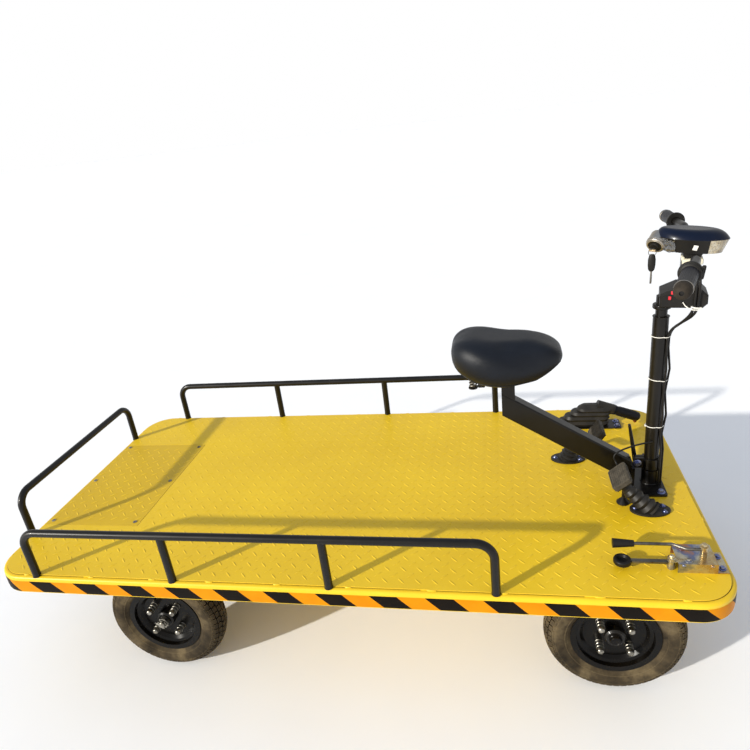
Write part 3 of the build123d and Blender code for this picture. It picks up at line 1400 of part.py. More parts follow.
# Spring hangers: two cheeks under a plate, with a pin through the eye
HANGER_OUT = LEAF_WIDTH + 2 * HANGER_GAP + 2 * HANGER_T
with BuildPart() as spring_hangers:
    for s in (-1, 1):
        for end in (-1, 1):
            eye_x = REAR_AX + end * LEAF_HALVES[0]
            with BuildSketch(Plane.XZ.offset(-s * LEAF_Y - HANGER_OUT / 2)):
                with BuildLine():
                    Polyline(
                        (eye_x - HANGER_TOP / 2, MEMBER_BOTTOM),
                        (eye_x + HANGER_TOP / 2, MEMBER_BOTTOM),
                        (eye_x + HANGER_TAIL / 2, EYE_Z - LEAF_EYE_D / 2),
                        (eye_x - HANGER_TAIL / 2, EYE_Z - LEAF_EYE_D / 2),
                        close=True,
                    )
                make_face()
            extrude(amount=HANGER_OUT)
            with Locations((eye_x, s * LEAF_Y, MEMBER_BOTTOM - HANGER_T)):
                Box(
                    HANGER_TOP,
                    LEAF_WIDTH + 2 * HANGER_GAP,
                    MEMBER_BOTTOM,
                    align=(Align.CENTER, Align.CENTER, Align.MAX),
                    mode=Mode.SUBTRACT,
                )
            with Locations((eye_x, s * LEAF_Y, EYE_Z)):
                Cylinder(PIN_D / 2, HANGER_OUT + 2 * PIN_STUB, rotation=(90, 0, 0))
save(spring_hangers, "spring_hangers")

# Motor controller: finned block under the middle cross bar
CONTROLLER_X = INNER_BARS_X[2]
with BuildPart() as motor_controller:
    with Locations((CONTROLLER_X, 0, MEMBER_BOTTOM)):
        Box(
            CONTROLLER_LENGTH,
            CONTROLLER_WIDTH,
            CONTROLLER_HEIGHT,
            align=(Align.CENTER, Align.CENTER, Align.MAX),
        )
    fin_pitch = CONTROLLER_WIDTH / CONTROLLER_FINS
    with Locations((CONTROLLER_X, 0, MEMBER_BOTTOM - CONTROLLER_HEIGHT)):
        with GridLocations(0, fin_pitch, 1, CONTROLLER_FINS):
            Box(
                CONTROLLER_LENGTH,
                fin_pitch / 2,
                FIN_DEPTH,
                align=(Align.CENTER, Align.CENTER, Align.MIN),
                mode=Mode.SUBTRACT,
            )
save(motor_controller, "motor_controller")

# Wires down the column and the cable to the brake pedal
WIRE_R = COLUMN_D / 2 + WIRE_D / 2 + WIRE_GAP
with BuildPart() as column_wires:
    for turn, slack in WIRE_TURNS:
        c = math.cos(math.radians(turn))
        s = math.sin(math.radians(turn))
        route = []
        for level, share, off in WIRE_LEVELS:
            r = WIRE_R + share * slack + off
            route.append((COLUMN_AX + c * r, s * r, DECK_TOP + level))
        with BuildLine() as wire_path:
            FilletPolyline(*route, radius=WIRE_BEND_R)
        with BuildSketch(rod_plane(route[0], route[1])):
            Circle(WIRE_D / 2)
        sweep(path=wire_path.wires()[0])
save(column_wires, "column_wires")

BRAKE_PAD = pad_plane(*PEDALS[0][2:])
CABLE_END = (PAD_WIDTH / 2 - PAD_LIP - FIT_GAP, 0, -PAD_PLATE_T / 2 - FIT_GAP)
CABLE_Y = -COLUMN_D / 2 - CABLE_D / 2
CABLE = [(COLUMN_AX - CABLE_AHEAD, CABLE_Y, DECK_TOP + CABLE_TOP)]
CABLE += [(COLUMN_AX + x, y, DECK_TOP + z) for x, y, z in CABLE_VIAS]
CABLE += [
    BRAKE_PAD.from_local_coords((CABLE_END[0] + CABLE_RUN, CABLE_END[1], CABLE_END[2])),
    BRAKE_PAD.from_local_coords(CABLE_END),
]
with BuildPart() as pedal_cable:
    with BuildLine() as cable_path:
        FilletPolyline(*CABLE, radius=CABLE_BEND_R)
    with BuildSketch(rod_plane(CABLE[0], CABLE[1])):
        Circle(CABLE_D / 2)
    sweep(path=cable_path.wires()[0])
save(pedal_cable, "pedal_cable")

# Wheels: tyre, pressed steel rim, and hub with drum, studs and nuts
HALF_RIM = RIM_WIDTH / 2
HALF_TYRE = TYRE_WIDTH / 2
BEAD_Y = HALF_RIM - RIM_SHEET
BEAD_R = RIM_LIP_R + RIM_TO_TYRE
SHOULDER_Y = HALF_TYRE - TREAD_SHOULDER
SHOULDER_R = TYRE_R - TREAD_DROP
BULGE_R = (BEAD_R + SHOULDER_R) / 2
DISC_OUT = DISC_OFFSET + RIM_SHEET
BOSS_END = DISC_OFFSET + HUB_BOSS_OUT
HUB_FACE = DISC_OFFSET - HUB_FLANGE_T
WHEELS = (
    ("front_right", FRONT_AX, -FRONT_WHEEL_Y),
    ("front_left", FRONT_AX, FRONT_WHEEL_Y),
    ("rear_right", REAR_AX, -REAR_WHEEL_Y),
    ("rear_left", REAR_AX, REAR_WHEEL_Y),
)
for name, wheel_x, wheel_y in WHEELS:
    out = math.copysign(1, wheel_y)
    axis = Axis((wheel_x, wheel_y, WHEEL_Z), (0, 1, 0))
    # sketch plane: across is outward along the axle, up is the radius
    across = Plane(origin=(wheel_x, wheel_y, WHEEL_Z), x_dir=(0, out, 0), z_dir=(out, 0, 0))
    with BuildPart() as tyre:
        with BuildSketch(across):
            with BuildLine():
                t1 = Line((-BEAD_Y, RIM_SEAT_R), (BEAD_Y, RIM_SEAT_R))
                t2 = Line(t1 @ 1, (BEAD_Y, BEAD_R))
                t3 = ThreePointArc(t2 @ 1, (HALF_TYRE, BULGE_R), (SHOULDER_Y, SHOULDER_R))
                t4 = ThreePointArc(t3 @ 1, (0, TYRE_R), (-SHOULDER_Y, SHOULDER_R))
                t5 = ThreePointArc(t4 @ 1, (-HALF_TYRE, BULGE_R), (-BEAD_Y, BEAD_R))
                Line(t5 @ 1, t1 @ 0)
            make_face()
        revolve(axis=axis)
    save(tyre, f"tyre_{name}")

    with BuildPart() as rim:
        with BuildSketch(across):
            with BuildLine():
                Polyline(
                    (-HALF_RIM, RIM_LIP_R),
                    (-BEAD_Y, RIM_LIP_R),
                    (-BEAD_Y, RIM_SEAT_R),
                    (BEAD_Y, RIM_SEAT_R),
                    (BEAD_Y, RIM_LIP_R),
                    (HALF_RIM, RIM_LIP_R),
                    (HALF_RIM, RIM_SEAT_R - RIM_SHEET),
                    (HALF_RIM - RIM_SLOPE, RIM_SEAT_R - RIM_SHEET - RIM_TO_TYRE),
                    (DISC_OFFSET + RIM_SLOPE, RIM_WELL_R),
                    (DISC_OUT, RIM_WELL_R - RIM_CREASE - RIM_TO_TYRE),
                    (DISC_OUT, HUB_BOSS_D / 2 + FIT_GAP),
                    (DISC_OFFSET, HUB_BOSS_D / 2 + FIT_GAP),
                    (DISC_OFFSET, RIM_WELL_R - RIM_CREASE),
                    (DISC_OFFSET - RIM_CREASE, RIM_WELL_R),
                    (RIM_SLOPE - HALF_RIM, RIM_WELL_R + RIM_CREASE),
                    (-HALF_RIM, RIM_SEAT_R - RIM_SHEET),
                    close=True,
                )
            make_face()
        revolve(axis=axis)
        with BuildSketch(Plane(across.origin, x_dir=(1, 0, 0), z_dir=(0, out, 0))):
            with PolarLocations(STUD_PCD / 2, STUD_COUNT, start_angle=45):
                Circle(STUD_D / 2 + FIT_GAP)
        extrude(amount=HALF_TYRE, mode=Mode.SUBTRACT)
    save(rim, f"rim_{name}")

    with BuildPart() as hub:
        with BuildSketch(across):
            with BuildLine():
                Polyline(
                    (HUB_IN, SPINDLE_D / 2 + RUN_GAP),
                    (HUB_IN, HUB_BODY_D / 2),
                    (HUB_FACE - DRUM_WEB, HUB_BODY_D / 2 + HUB_BODY_FLARE),
                    (HUB_FACE - DRUM_WEB, DRUM_R - DRUM_WALL),
                    (HUB_IN, DRUM_R - DRUM_WALL),
                    (HUB_IN, DRUM_R),
                    (HUB_FACE, DRUM_R),
                    (DISC_OFFSET, DRUM_R - HUB_FLANGE_STEP),
                    (DISC_OFFSET, HUB_BOSS_D / 2),
                    (BOSS_END - HUB_BOSS_EDGE, HUB_BOSS_D / 2),
                    (BOSS_END, HUB_BOSS_D / 2 - HUB_BOSS_EDGE),
                    (BOSS_END, SPINDLE_D / 2 + RUN_GAP),
                    close=True,
                )
            make_face()
        revolve(axis=axis)
        face = Plane(across.origin, x_dir=(1, 0, 0), z_dir=(0, out, 0))
        with BuildSketch(face.offset(HUB_FACE)):
            with PolarLocations(STUD_PCD / 2, STUD_COUNT, start_angle=45):
                Circle(STUD_D / 2)
        extrude(amount=HUB_FLANGE_T + RIM_SHEET)
        with BuildSketch(face.offset(DISC_OUT)):
            with PolarLocations(STUD_PCD / 2, STUD_COUNT, start_angle=45):
                Circle(NUT_D / 2)
        extrude(amount=NUT_LENGTH)
        nut_ends = hub.faces().filter_by(GeomType.PLANE).sort_by(Axis((0, 0, 0), (0, out, 0)))
        fillet(nut_ends[-STUD_COUNT:].edges(), radius=NUT_DOME_R)
    save(hub, f"hub_{name}")
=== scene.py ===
import math
import random
from math import cos, pi, radians, sin

import bmesh
import bpy
from mathutils import Matrix, Vector
from mathutils.bvhtree import BVHTree


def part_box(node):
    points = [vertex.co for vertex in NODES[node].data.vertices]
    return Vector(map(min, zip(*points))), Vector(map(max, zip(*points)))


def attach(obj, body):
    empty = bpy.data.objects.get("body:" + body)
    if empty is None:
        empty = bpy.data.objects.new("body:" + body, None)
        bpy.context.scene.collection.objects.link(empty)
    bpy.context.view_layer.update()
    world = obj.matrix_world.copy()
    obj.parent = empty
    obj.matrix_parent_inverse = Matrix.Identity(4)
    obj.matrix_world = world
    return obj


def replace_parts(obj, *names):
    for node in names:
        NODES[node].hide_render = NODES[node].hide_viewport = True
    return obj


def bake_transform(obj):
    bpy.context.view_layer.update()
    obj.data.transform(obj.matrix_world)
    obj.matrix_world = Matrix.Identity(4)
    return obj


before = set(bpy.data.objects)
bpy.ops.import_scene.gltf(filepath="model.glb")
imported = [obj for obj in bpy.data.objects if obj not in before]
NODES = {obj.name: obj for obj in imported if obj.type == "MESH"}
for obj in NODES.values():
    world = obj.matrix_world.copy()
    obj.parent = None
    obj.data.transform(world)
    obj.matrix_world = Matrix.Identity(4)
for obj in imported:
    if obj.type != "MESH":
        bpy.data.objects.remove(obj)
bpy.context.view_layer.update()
SCENE = bpy.context.scene
SCENE.view_settings.view_transform = "Standard"
random.seed(7)

# Places taken from the model, in millimetres
DECK_X0, DECK_X1, DECK_Y, DECK_R = -1015.5, 984.5, 490.0, 100.0
DECK_Z = 418.0
HATCH_X0, HATCH_X1, HATCH_Y = -1003.5, -672.5, 250.0
RAIL_POSTS = (-856.5, -431.5, 9.5, 430.5)
RAIL_Y = 479.0
REAR_RAIL_X, REAR_RAIL_Y = -1004.5, 306.0
COLUMN_X = 877.5
HEAD_TURN = -11.0
WHEELS = {
    "front_right": (728.5, -345.0),
    "front_left": (728.5, 345.0),
    "rear_right": (-562.5, -365.0),
    "rear_left": (-562.5, 365.0),
}
TYRE_R = 181.0
WHEEL_Z = TYRE_R

MM = Matrix.Scale(0.001, 4)
HEAD = Matrix.Translation((COLUMN_X, 0, DECK_Z)) @ Matrix.Rotation(radians(HEAD_TURN), 4, "Z")


# Small helpers
def tone(r, g, b):
    """A colour given as it looks on screen."""
    return tuple(((c / 255 + 0.055) / 1.055) ** 2.4 if c > 10 else c / 3294 for c in (r, g, b)) + (1.0,)


def turned(degrees, axis="Z"):
    """A turn about one axis."""
    return Matrix.Rotation(radians(degrees), 4, axis)


def at(x, y, z, aim=(0, 0, 1), spin=0.0, base=None):
    """Frame in millimetres at a point, its own Z along aim."""
    turn = Vector(aim).to_track_quat("Z", "Y").to_matrix().to_4x4()
    place = Matrix.Translation((x, y, z)) @ turn @ turned(spin)
    return MM @ ((base @ place) if base is not None else place)


def circle(steps):
    """Angles of one turn in equal steps."""
    return [2 * pi * k / steps for k in range(steps)]


def band(bm, a, b, mat=0):
    """Faces between two rings of as many points."""
    count = len(a)
    for k in range(count):
        bm.faces.new([a[k], a[(k + 1) % count], b[(k + 1) % count], b[k]]).material_index = mat


def lathe(bm, profile, place, steps=24, mat=0):
    """Turn (radius, height) points round the frame's Z."""
    rings = []
    for r, z in profile:
        angles = circle(steps) if r > 1e-6 else [0.0]
        rings.append([bm.verts.new(place @ Vector((r * cos(a), r * sin(a), z))) for a in angles])
    for a, b in zip(rings, rings[1:]):
        for k in range(steps):
            quad = [a[k % len(a)], a[(k + 1) % len(a)], b[(k + 1) % len(b)], b[k % len(b)]]
            corners = list(dict.fromkeys(quad))
            if len(corners) > 2:
                bm.faces.new(corners).material_index = mat


def sweep(bm, points, radius, place=MM, steps=10, mat=0, closed=False):
    """Round bar along points, with closed ends."""
    pts = [Vector(p) for p in points]
    count = len(pts)
    side = None
    rings = []
    for i, p in enumerate(pts):
        before = pts[i - 1] if i or closed else p
        after = pts[(i + 1) % count] if i < count - 1 or closed else p
        along = (after - before).normalized()
        if side is None:
            side = along.orthogonal().normalized()
        side = (side - along * side.dot(along)).normalized()
        up = along.cross(side)
        r = radius[i] if isinstance(radius, (list, tuple)) else radius
        ring = [p + (side * cos(a) + up * sin(a)) * r for a in circle(steps)]
        rings.append([bm.verts.new(place @ v) for v in ring])
    for a, b in zip(rings, rings[1:] + ([rings[0]] if closed else [])):
        band(bm, a, b, mat)
    if not closed:
        bm.faces.new(rings[0][::-1]).material_index = mat
        bm.faces.new(rings[-1]).material_index = mat


def slab(bm, place, size, edge=1.0, mat=0, segments=2):
    """Box with rounded edges, centred on the frame."""
    made = bmesh.ops.create_cube(bm, size=1.0, matrix=Matrix.Diagonal((*size, 1)))["verts"]
    edges = list(dict.fromkeys(e for v in made for e in v.link_edges))
    done = bmesh.ops.bevel(bm, geom=edges, offset=edge, segments=segments, affect="EDGES", profile=0.5)
    verts = {v for f in done["faces"] for v in f.verts}
    faces = {f for v in verts for f in v.link_faces}
    for v in {v for f in faces for v in f.verts}:
        v.co = place @ v.co
    for f in faces:
        f.material_index = mat


def bolt(bm, place, across, high, washer=True, mat=0):
    """Hexagon head with a chamfered crown on a washer."""
    r = across / 2 / cos(pi / 6)
    base = 0.0
    if washer:
        disc = [(0, 0), (across * 0.9, 0), (across * 0.9, 1.2), (across * 0.84, 1.6), (0, 1.6)]
        lathe(bm, disc, place, 24, mat)
        base = 1.6
    hexagon = [(0, base), (r, base), (r, base + high * 0.8), (r * 0.86, base + high), (0, base + high)]
    lathe(bm, hexagon, place, 6, mat)


def show(name, bm, mats, body, angle=35.0):
    """Turn a working mesh into a piece that rides on a body."""
    bmesh.ops.recalc_face_normals(bm, faces=bm.faces)
    mesh = bpy.data.meshes.new(name)
    bm.to_mesh(mesh)
    bm.free()
    mesh.polygons.foreach_set("use_smooth", [True] * len(mesh.polygons))
    mesh.set_sharp_from_angle(angle=radians(angle))
    for mat in mats if isinstance(mats, (list, tuple)) else [mats]:
        mesh.materials.append(mat)
    obj = bpy.data.objects.new(name, mesh)
    SCENE.collection.objects.link(obj)
    if body:
        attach(obj, body)
    return obj


# Materials
def node(tree, kind, inputs=(), **settings):
    """New shader node, with a value or a link on each named input."""
    made = tree.nodes.new("ShaderNode" + kind)
    for key, value in settings.items():
        setattr(made, key, value)
    for key, value in dict(inputs).items():
        if isinstance(value, bpy.types.NodeSocket):
            tree.links.new(value, made.inputs[key])
        else:
            made.inputs[key].default_value = value
    return made


def ramp(tree, source, stops):
    """Colour ramp over a value."""
    made = node(tree, "ValToRGB", {"Fac": source})
    line = made.color_ramp.elements
    while len(line) < len(stops):
        line.new(0.5)
    for part, (place, colour) in zip(line, stops):
        part.position = place
        part.color = colour
    return made.outputs["Color"]


def remap(tree, value, low, high, to_low=0.0, to_high=1.0):
    """A value moved from one range to another."""
    spread = {"Value": value, "From Min": low, "From Max": high, "To Min": to_low, "To Max": to_high}
    return node(tree, "MapRange", spread).outputs[0]


def mix(tree, share, a, b):
    """Two colours mixed by a share."""
    return node(tree, "Mix", {0: share, 6: a, 7: b}, data_type="RGBA").outputs[2]


def surface(name, colours, rough, patch, grain, depth, cells=False, edge=None, dust=None, specks=None,
            fixed=()):
    """A finish: drifting colour and roughness, a fine bump, and optional worn edges, dust and specks."""
    mat = bpy.data.materials.new(name)
    mat.use_nodes = True
    tree = mat.node_tree
    shader = tree.nodes["Principled BSDF"]
    for key, value in dict(fixed).items():
        shader.inputs[key].default_value = value
    where = node(tree, "TexCoord").outputs["Object"]
    coarse = {"Vector": where, "Scale": patch, "Detail": 6.0, "Roughness": 0.62}
    drift = node(tree, "TexNoise", coarse).outputs[0]
    steps = [(0.32 + 0.36 * i / max(1, len(colours) - 1), tone(*c)) for i, c in enumerate(colours)]
    colour = ramp(tree, drift, steps)
    if specks:
        fleck = node(tree, "TexNoise", {"Vector": where, "Scale": specks[1], "Detail": 2.0}).outputs[0]
        mask = remap(tree, fleck, 0.62, 0.72)
        colour = mix(tree, mask, colour, tone(*specks[0]))
    facing = node(tree, "NewGeometry").outputs["Normal"]
    if dust:
        up = node(tree, "SeparateXYZ", {"Vector": facing}).outputs["Z"]
        lie = node(tree, "Math", {0: up, 1: drift}, operation="MULTIPLY").outputs[0]
        mask = remap(tree, lie, 0.15, 0.7, 0.0, dust[1])
        colour = mix(tree, mask, colour, tone(*dust[0]))
    if edge:
        soft = node(tree, "Bevel", {"Radius": edge[1]}, samples=4).outputs[0]
        same = node(tree, "VectorMath", {0: soft, 1: facing}, operation="DOT_PRODUCT").outputs["Value"]
        worn = remap(tree, same, 0.995, 0.9)
        patchy = node(tree, "Math", {0: worn, 1: drift}, operation="MULTIPLY").outputs[0]
        colour = mix(tree, patchy, colour, tone(*edge[0]))
    tree.links.new(colour, shader.inputs["Base Color"])
    tree.links.new(remap(tree, drift, 0.3, 0.7, *rough), shader.inputs["Roughness"])
    if cells:
        cell = {"Vector": where, "Scale": grain}
        fine = node(tree, "TexVoronoi", cell, feature="DISTANCE_TO_EDGE").outputs[0]
        fine = remap(tree, fine, 0.0, 0.25)
    else:
        fine = node(tree, "TexNoise", {"Vector": where, "Scale": grain, "Detail": 3.0}).outputs[0]
    raised = node(tree, "Bump", {"Height": fine, "Strength": 0.6, "Distance": depth})
    tree.links.new(raised.outputs[0], shader.inputs["Normal"])
    return mat


GLOSS = {"Coat Weight": 0.15, "Coat Roughness": 0.12, "Specular IOR Level": 0.25}
DULL = {"Specular IOR Level": 0.25}
FLAT = {"Specular IOR Level": 0.08}
METAL = {"Metallic": 1.0}

# Each finish: name, colours, range of roughness, scale of patches and grain, depth of the bump in metres
YELLOW = surface("yellow_enamel", [(224, 184, 22), (235, 196, 32)], (0.4, 0.55), 3.0, 260, 0.0001,
                 edge=((238, 206, 74), 0.003), specks=((204, 164, 28), 900),
                 fixed={"Coat Weight": 0.1, "Coat Roughness": 0.25, "Specular IOR Level": 0.35})
HATCH_YELLOW = surface("hatch_enamel", [(206, 168, 26), (217, 179, 34)], (0.45, 0.6), 3.0, 260, 0.0001,
                       edge=((232, 198, 66), 0.003), specks=((192, 152, 24), 900),
                       fixed={"Coat Weight": 0.08, "Coat Roughness": 0.3, "Specular IOR Level": 0.3})
BLACK = surface("black_enamel", [(11, 9, 6), (18, 15, 11)], (0.3, 0.44), 9.0, 420, 0.00008,
                edge=((58, 55, 50), 0.002), fixed=GLOSS)
RIM = surface("rim_black", [(5, 4, 3), (11, 9, 7)], (0.2, 0.32), 14.0, 500, 0.00008,
              dust=((52, 45, 33), 0.1),
              fixed={"Coat Weight": 0.04, "Coat Roughness": 0.1, "Specular IOR Level": 0.14})
ORANGE_TAPE = surface("tape_orange", [(202, 123, 2), (214, 136, 6)], (0.4, 0.5), 12.0, 420, 0.00006, True,
                      fixed=FLAT)
BLACK_TAPE = surface("tape_black", [(13, 9, 5), (21, 15, 9)], (0.4, 0.5), 12.0, 420, 0.00006, True,
                     fixed=FLAT)
TYRE = surface("tyre_rubber", [(36, 31, 24), (66, 57, 43), (102, 89, 66)], (0.66, 0.82), 16.0, 700, 0.0002,
               dust=((122, 106, 76), 0.35), edge=((112, 98, 72), 0.002), fixed=FLAT)
# Tread floor and lower block sides: rubber without dust, darkened further with painted shade of the deep
# grooves
GROOVE_CLEAN_PAINTED_SHADE = surface("tyre_groove_clean_painted_shade", [(14, 11, 8), (26, 21, 15)], (0.75, 0.9), 20.0, 700, 0.0002, fixed=FLAT)
RUBBER = surface("black_rubber", [(18, 17, 15), (34, 31, 27)], (0.42, 0.58), 20.0, 1400, 0.00012,
                 dust=((78, 71, 58), 0.2), fixed={"Specular IOR Level": 0.35})
PAD = surface("pedal_rubber", [(54, 50, 43), (84, 78, 68)], (0.72, 0.86), 60.0, 900, 0.0004, True,
              edge=((128, 118, 100), 0.0012), fixed=DULL)
PLASTIC = surface("black_plastic", [(16, 15, 14), (27, 25, 22)], (0.42, 0.56), 12.0, 1800, 0.00012,
                  edge=((52, 49, 45), 0.0012), fixed=DULL)
COVER = surface("gloss_cover", [(6, 12, 26), (11, 21, 42)], (0.24, 0.34), 5.0, 200, 0.00003,
                fixed={"Coat Weight": 0.06, "Coat Roughness": 0.1, "Specular IOR Level": 0.16})
LENS = surface("lamp_lens", [(104, 82, 56), (206, 188, 150), (232, 222, 198)], (0.06, 0.16), 46.0, 120,
               0.002, True, fixed={"Transmission Weight": 0.4, "IOR": 1.49, "Coat Weight": 0.6})
CHROME = surface("chrome", [(160, 152, 140), (198, 190, 177)], (0.2, 0.34), 20.0, 300, 0.00004, fixed=METAL)
ZINC = surface("zinc_plate", [(96, 92, 84), (150, 146, 136), (190, 186, 176)], (0.26, 0.46), 60.0, 900,
               0.0001, fixed=METAL)
BLUE_ZINC = surface("blue_zinc", [(84, 92, 140), (150, 158, 190)], (0.25, 0.4), 60.0, 900, 0.0001,
                    fixed=METAL)
RAINBOW = surface("rainbow_zinc",
                  [(120, 100, 136), (186, 160, 110), (200, 192, 166), (112, 124, 158), (182, 128, 88)],
                  (0.22, 0.36), 11.0, 800, 0.00008, fixed={"Metallic": 0.9})
STEEL = surface("raw_steel", [(92, 88, 82), (142, 138, 130)], (0.36, 0.55), 18.0, 500, 0.0002, fixed=METAL,
                specks=((92, 66, 44), 160))
SPRING = surface("spring_steel", [(30, 29, 28), (50, 47, 43)], (0.4, 0.55), 14.0, 260, 0.0002,
                 fixed={"Metallic": 0.5})
CAST = surface("cast_metal", [(112, 110, 106), (150, 147, 140)], (0.45, 0.62), 10.0, 1100, 0.0005,
               fixed={"Metallic": 0.85})
VINYL = surface("saddle_vinyl", [(9, 13, 20), (16, 21, 31)], (0.4, 0.48), 6.0, 900, 0.00012, True,
                fixed={"Specular IOR Level": 0.28})
WIRE = surface("wire_black", [(15, 14, 13), (30, 27, 24)], (0.34, 0.5), 40.0, 900, 0.0001, fixed=DULL)
GRIP = surface("grip_rubber", [(14, 14, 18), (26, 26, 33)], (0.4, 0.52), 24.0, 1600, 0.00015, fixed=DULL)
WHITE = surface("white_nylon", [(214, 211, 202), (236, 234, 226)], (0.36, 0.5), 40.0, 900, 0.00008)
CREAM = surface("cream_plastic", [(206, 198, 172), (228, 222, 200)], (0.34, 0.48), 40.0, 900, 0.0001)
RED = surface("red_button", [(196, 30, 44), (226, 58, 70)], (0.25, 0.36), 60.0, 900, 0.00006)
CLEAR = surface("clear_wrap", [(206, 208, 210), (252, 252, 252)], (0.02, 0.1), 120.0, 220, 0.0004,
                fixed={"Transmission Weight": 0.93, "IOR": 1.42, "Coat Weight": 1.0, "Coat Roughness": 0.04})
BRASS = surface("key_brass", [(176, 150, 112), (206, 184, 146)], (0.24, 0.4), 60.0, 800, 0.00008,
                fixed={"Metallic": 0.7})
BROWN = surface("brown_tip", [(92, 34, 24), (126, 52, 34)], (0.35, 0.5), 60.0, 800, 0.0001)
DUSTY = surface("grip_end", [(40, 36, 31), (58, 52, 45)], (0.6, 0.75), 60.0, 1200, 0.00015, fixed=FLAT)
UMBER = surface("joint_shade", [(84, 62, 14), (122, 94, 22)], (0.7, 0.85), 30.0, 600, 0.0001, fixed=DULL)
# Painted shade for gaps, slots and holes
PAINTED_SHADE = surface("painted_shade_gap", [(8, 8, 8), (16, 15, 14)], (0.7, 0.85), 30.0, 600, 0.0001)

FINISH = {
    YELLOW: ("edge_frame", "long_members", "cross_members", "deck_plate"),
    HATCH_YELLOW: ("battery_hatch",),
    BLACK: ("side_rail_right", "side_rail_left", "rear_rail", "column_tube", "column_clamp", "seat_arm",
            "seat_plate", "handlebar", "front_axle", "rear_axle", "spring_hangers", "brake_plate",
            "knuckle_right", "knuckle_left", "battery_case", "bar_clamp", "steering_shaft", "pedal_rods",
            "pedal_stop", "drive_motor", *("hub_" + wheel for wheel in WHEELS)),
    RIM: ["rim_" + wheel for wheel in WHEELS],
    TYRE: ["tyre_" + wheel for wheel in WHEELS],
    RUBBER: ("pedal_boots", "brake_boot"),
    PAD: ("pedal_pads",),
    PLASTIC: ("control_box", "display_body", "brake_lever", "gear_knobs"),
    GRIP: ("grips",),
    COVER: ("display_cover",),
    LENS: ("headlight_lens",),
    CHROME: ("ignition_lock", "ignition_key"),
    RAINBOW: ("gear_bracket",),
    STEEL: ("tie_rod", "drag_link", "gear_rods"),
    SPRING: ("leaf_springs",),
    CAST: ("motor_controller",),
    VINYL: ("seat_cushion",),
    WIRE: ("column_wires", "pedal_cable"),
}
for mat, names in FINISH.items():
    for name in names:
        slots = NODES[name].data.materials
        if len(slots) == 0:
            slots.append(mat)
        for i in range(len(slots)):
            slots[i] = mat


# Deck: raised lugs, weld beads, tape
def rounded(x, y, inset, radius):
    """True inside the deck's rounded rectangle, drawn in by inset."""
    hx = (DECK_X1 - DECK_X0) / 2 - inset
    hy = DECK_Y - inset
    dx = abs(x - (DECK_X0 + DECK_X1) / 2) - hx + radius
    dy = abs(y) - hy + radius
    if dx <= 0 or dy <= 0:
        return dx <= radius and dy <= radius
    return dx * dx + dy * dy <= radius * radius


LUG_PITCH, LUG_LENGTH, LUG_WIDTH, LUG_HEIGHT = 43.0, 27.0, 4.8, 0.8
LUG_SIDES = 10
LUG_INSET, LUG_CORNER = 26.0, 80.0
HATCH_CLEAR = 14.0
# What stands on the deck: its middle and half its sizes
COVERED = (
    (856.5, 9.0, 60.0, 90.0), (749.0, 360.0, 114.0, 36.0), (910.0, -352.0, 68.0, 42.0),
    (849.5, -140.0, 56.0, 38.0), (659.5, 132.0, 56.0, 38.0), (785.5, -104.0, 22.0, 22.0),
)


def lug_allowed(x, y):
    """True where the plate is free for a lug."""
    if not rounded(x, y, LUG_INSET, LUG_CORNER):
        return False
    if HATCH_X0 - HATCH_CLEAR < x < HATCH_X1 + HATCH_CLEAR and abs(abs(y) - HATCH_Y) < HATCH_CLEAR:
        return False
    if abs(y) < HATCH_Y + HATCH_CLEAR and abs(x - HATCH_X1) < HATCH_CLEAR:
        return False
    return not any(abs(x - cx) < hx and abs(y - cy) < hy for cx, cy, hx, hy in COVERED)


lugs = bmesh.new()
outline = [(cos(a), sin(a)) for a in circle(LUG_SIDES)]
leaf = [(LUG_LENGTH / 2 * c, LUG_WIDTH / 2 * s * (1 - 0.35 * c * c)) for c, s in outline]
for i in range(-44, 44):
    for j in range(-22, 22):
        for shift, lean in ((0.0, 45.0), (LUG_PITCH / 2, -45.0)):
            x = i * LUG_PITCH + shift
            y = j * LUG_PITCH + shift
            if not lug_allowed(x, y):
                continue
            place = at(x, y, DECK_Z, spin=lean)
            rings = []
            for scale, z in ((1.0, -0.1), (0.8, LUG_HEIGHT * 0.75), (0.45, LUG_HEIGHT)):
                rings.append([lugs.verts.new(place @ Vector((px * scale, py * scale, z))) for px, py in leaf])
            for a, b in zip(rings, rings[1:]):
                band(lugs, a, b)
            lugs.faces.new(rings[-1])
show("deck_lugs", lugs, YELLOW, "chassis", 60)


def rim_point(s, inset=0.0):
    """Point and outward direction at a distance round the deck's edge, from its near rear corner forward."""
    x0, x1 = DECK_X0 + DECK_R, DECK_X1 - DECK_R
    y1 = DECK_Y - DECK_R
    arc = pi * DECK_R / 2
    runs = ((x1 - x0, (x0, -DECK_Y), (1, 0), None), (arc, None, None, ((x1, -y1), -90)),
            (2 * y1, (DECK_X1, -y1), (0, 1), None), (arc, None, None, ((x1, y1), 0)),
            (x1 - x0, (x1, DECK_Y), (-1, 0), None), (arc, None, None, ((x0, y1), 90)),
            (2 * y1, (DECK_X0, y1), (0, -1), None), (arc, None, None, ((x0, -y1), 180)))
    s %= sum(run[0] for run in runs)
    for length, start, along, bend in runs:
        if s <= length:
            if bend:
                a = radians(bend[1] + 90 * s / length)
                out = Vector((cos(a), sin(a), 0))
                p = Vector((*bend[0], 0)) + out * (DECK_R - inset)
            else:
                out = Vector((along[1], -along[0], 0))
                p = Vector((start[0] + along[0] * s, start[1] + along[1] * s, 0)) - out * inset
            return p, out
        s -= length
    return p, out


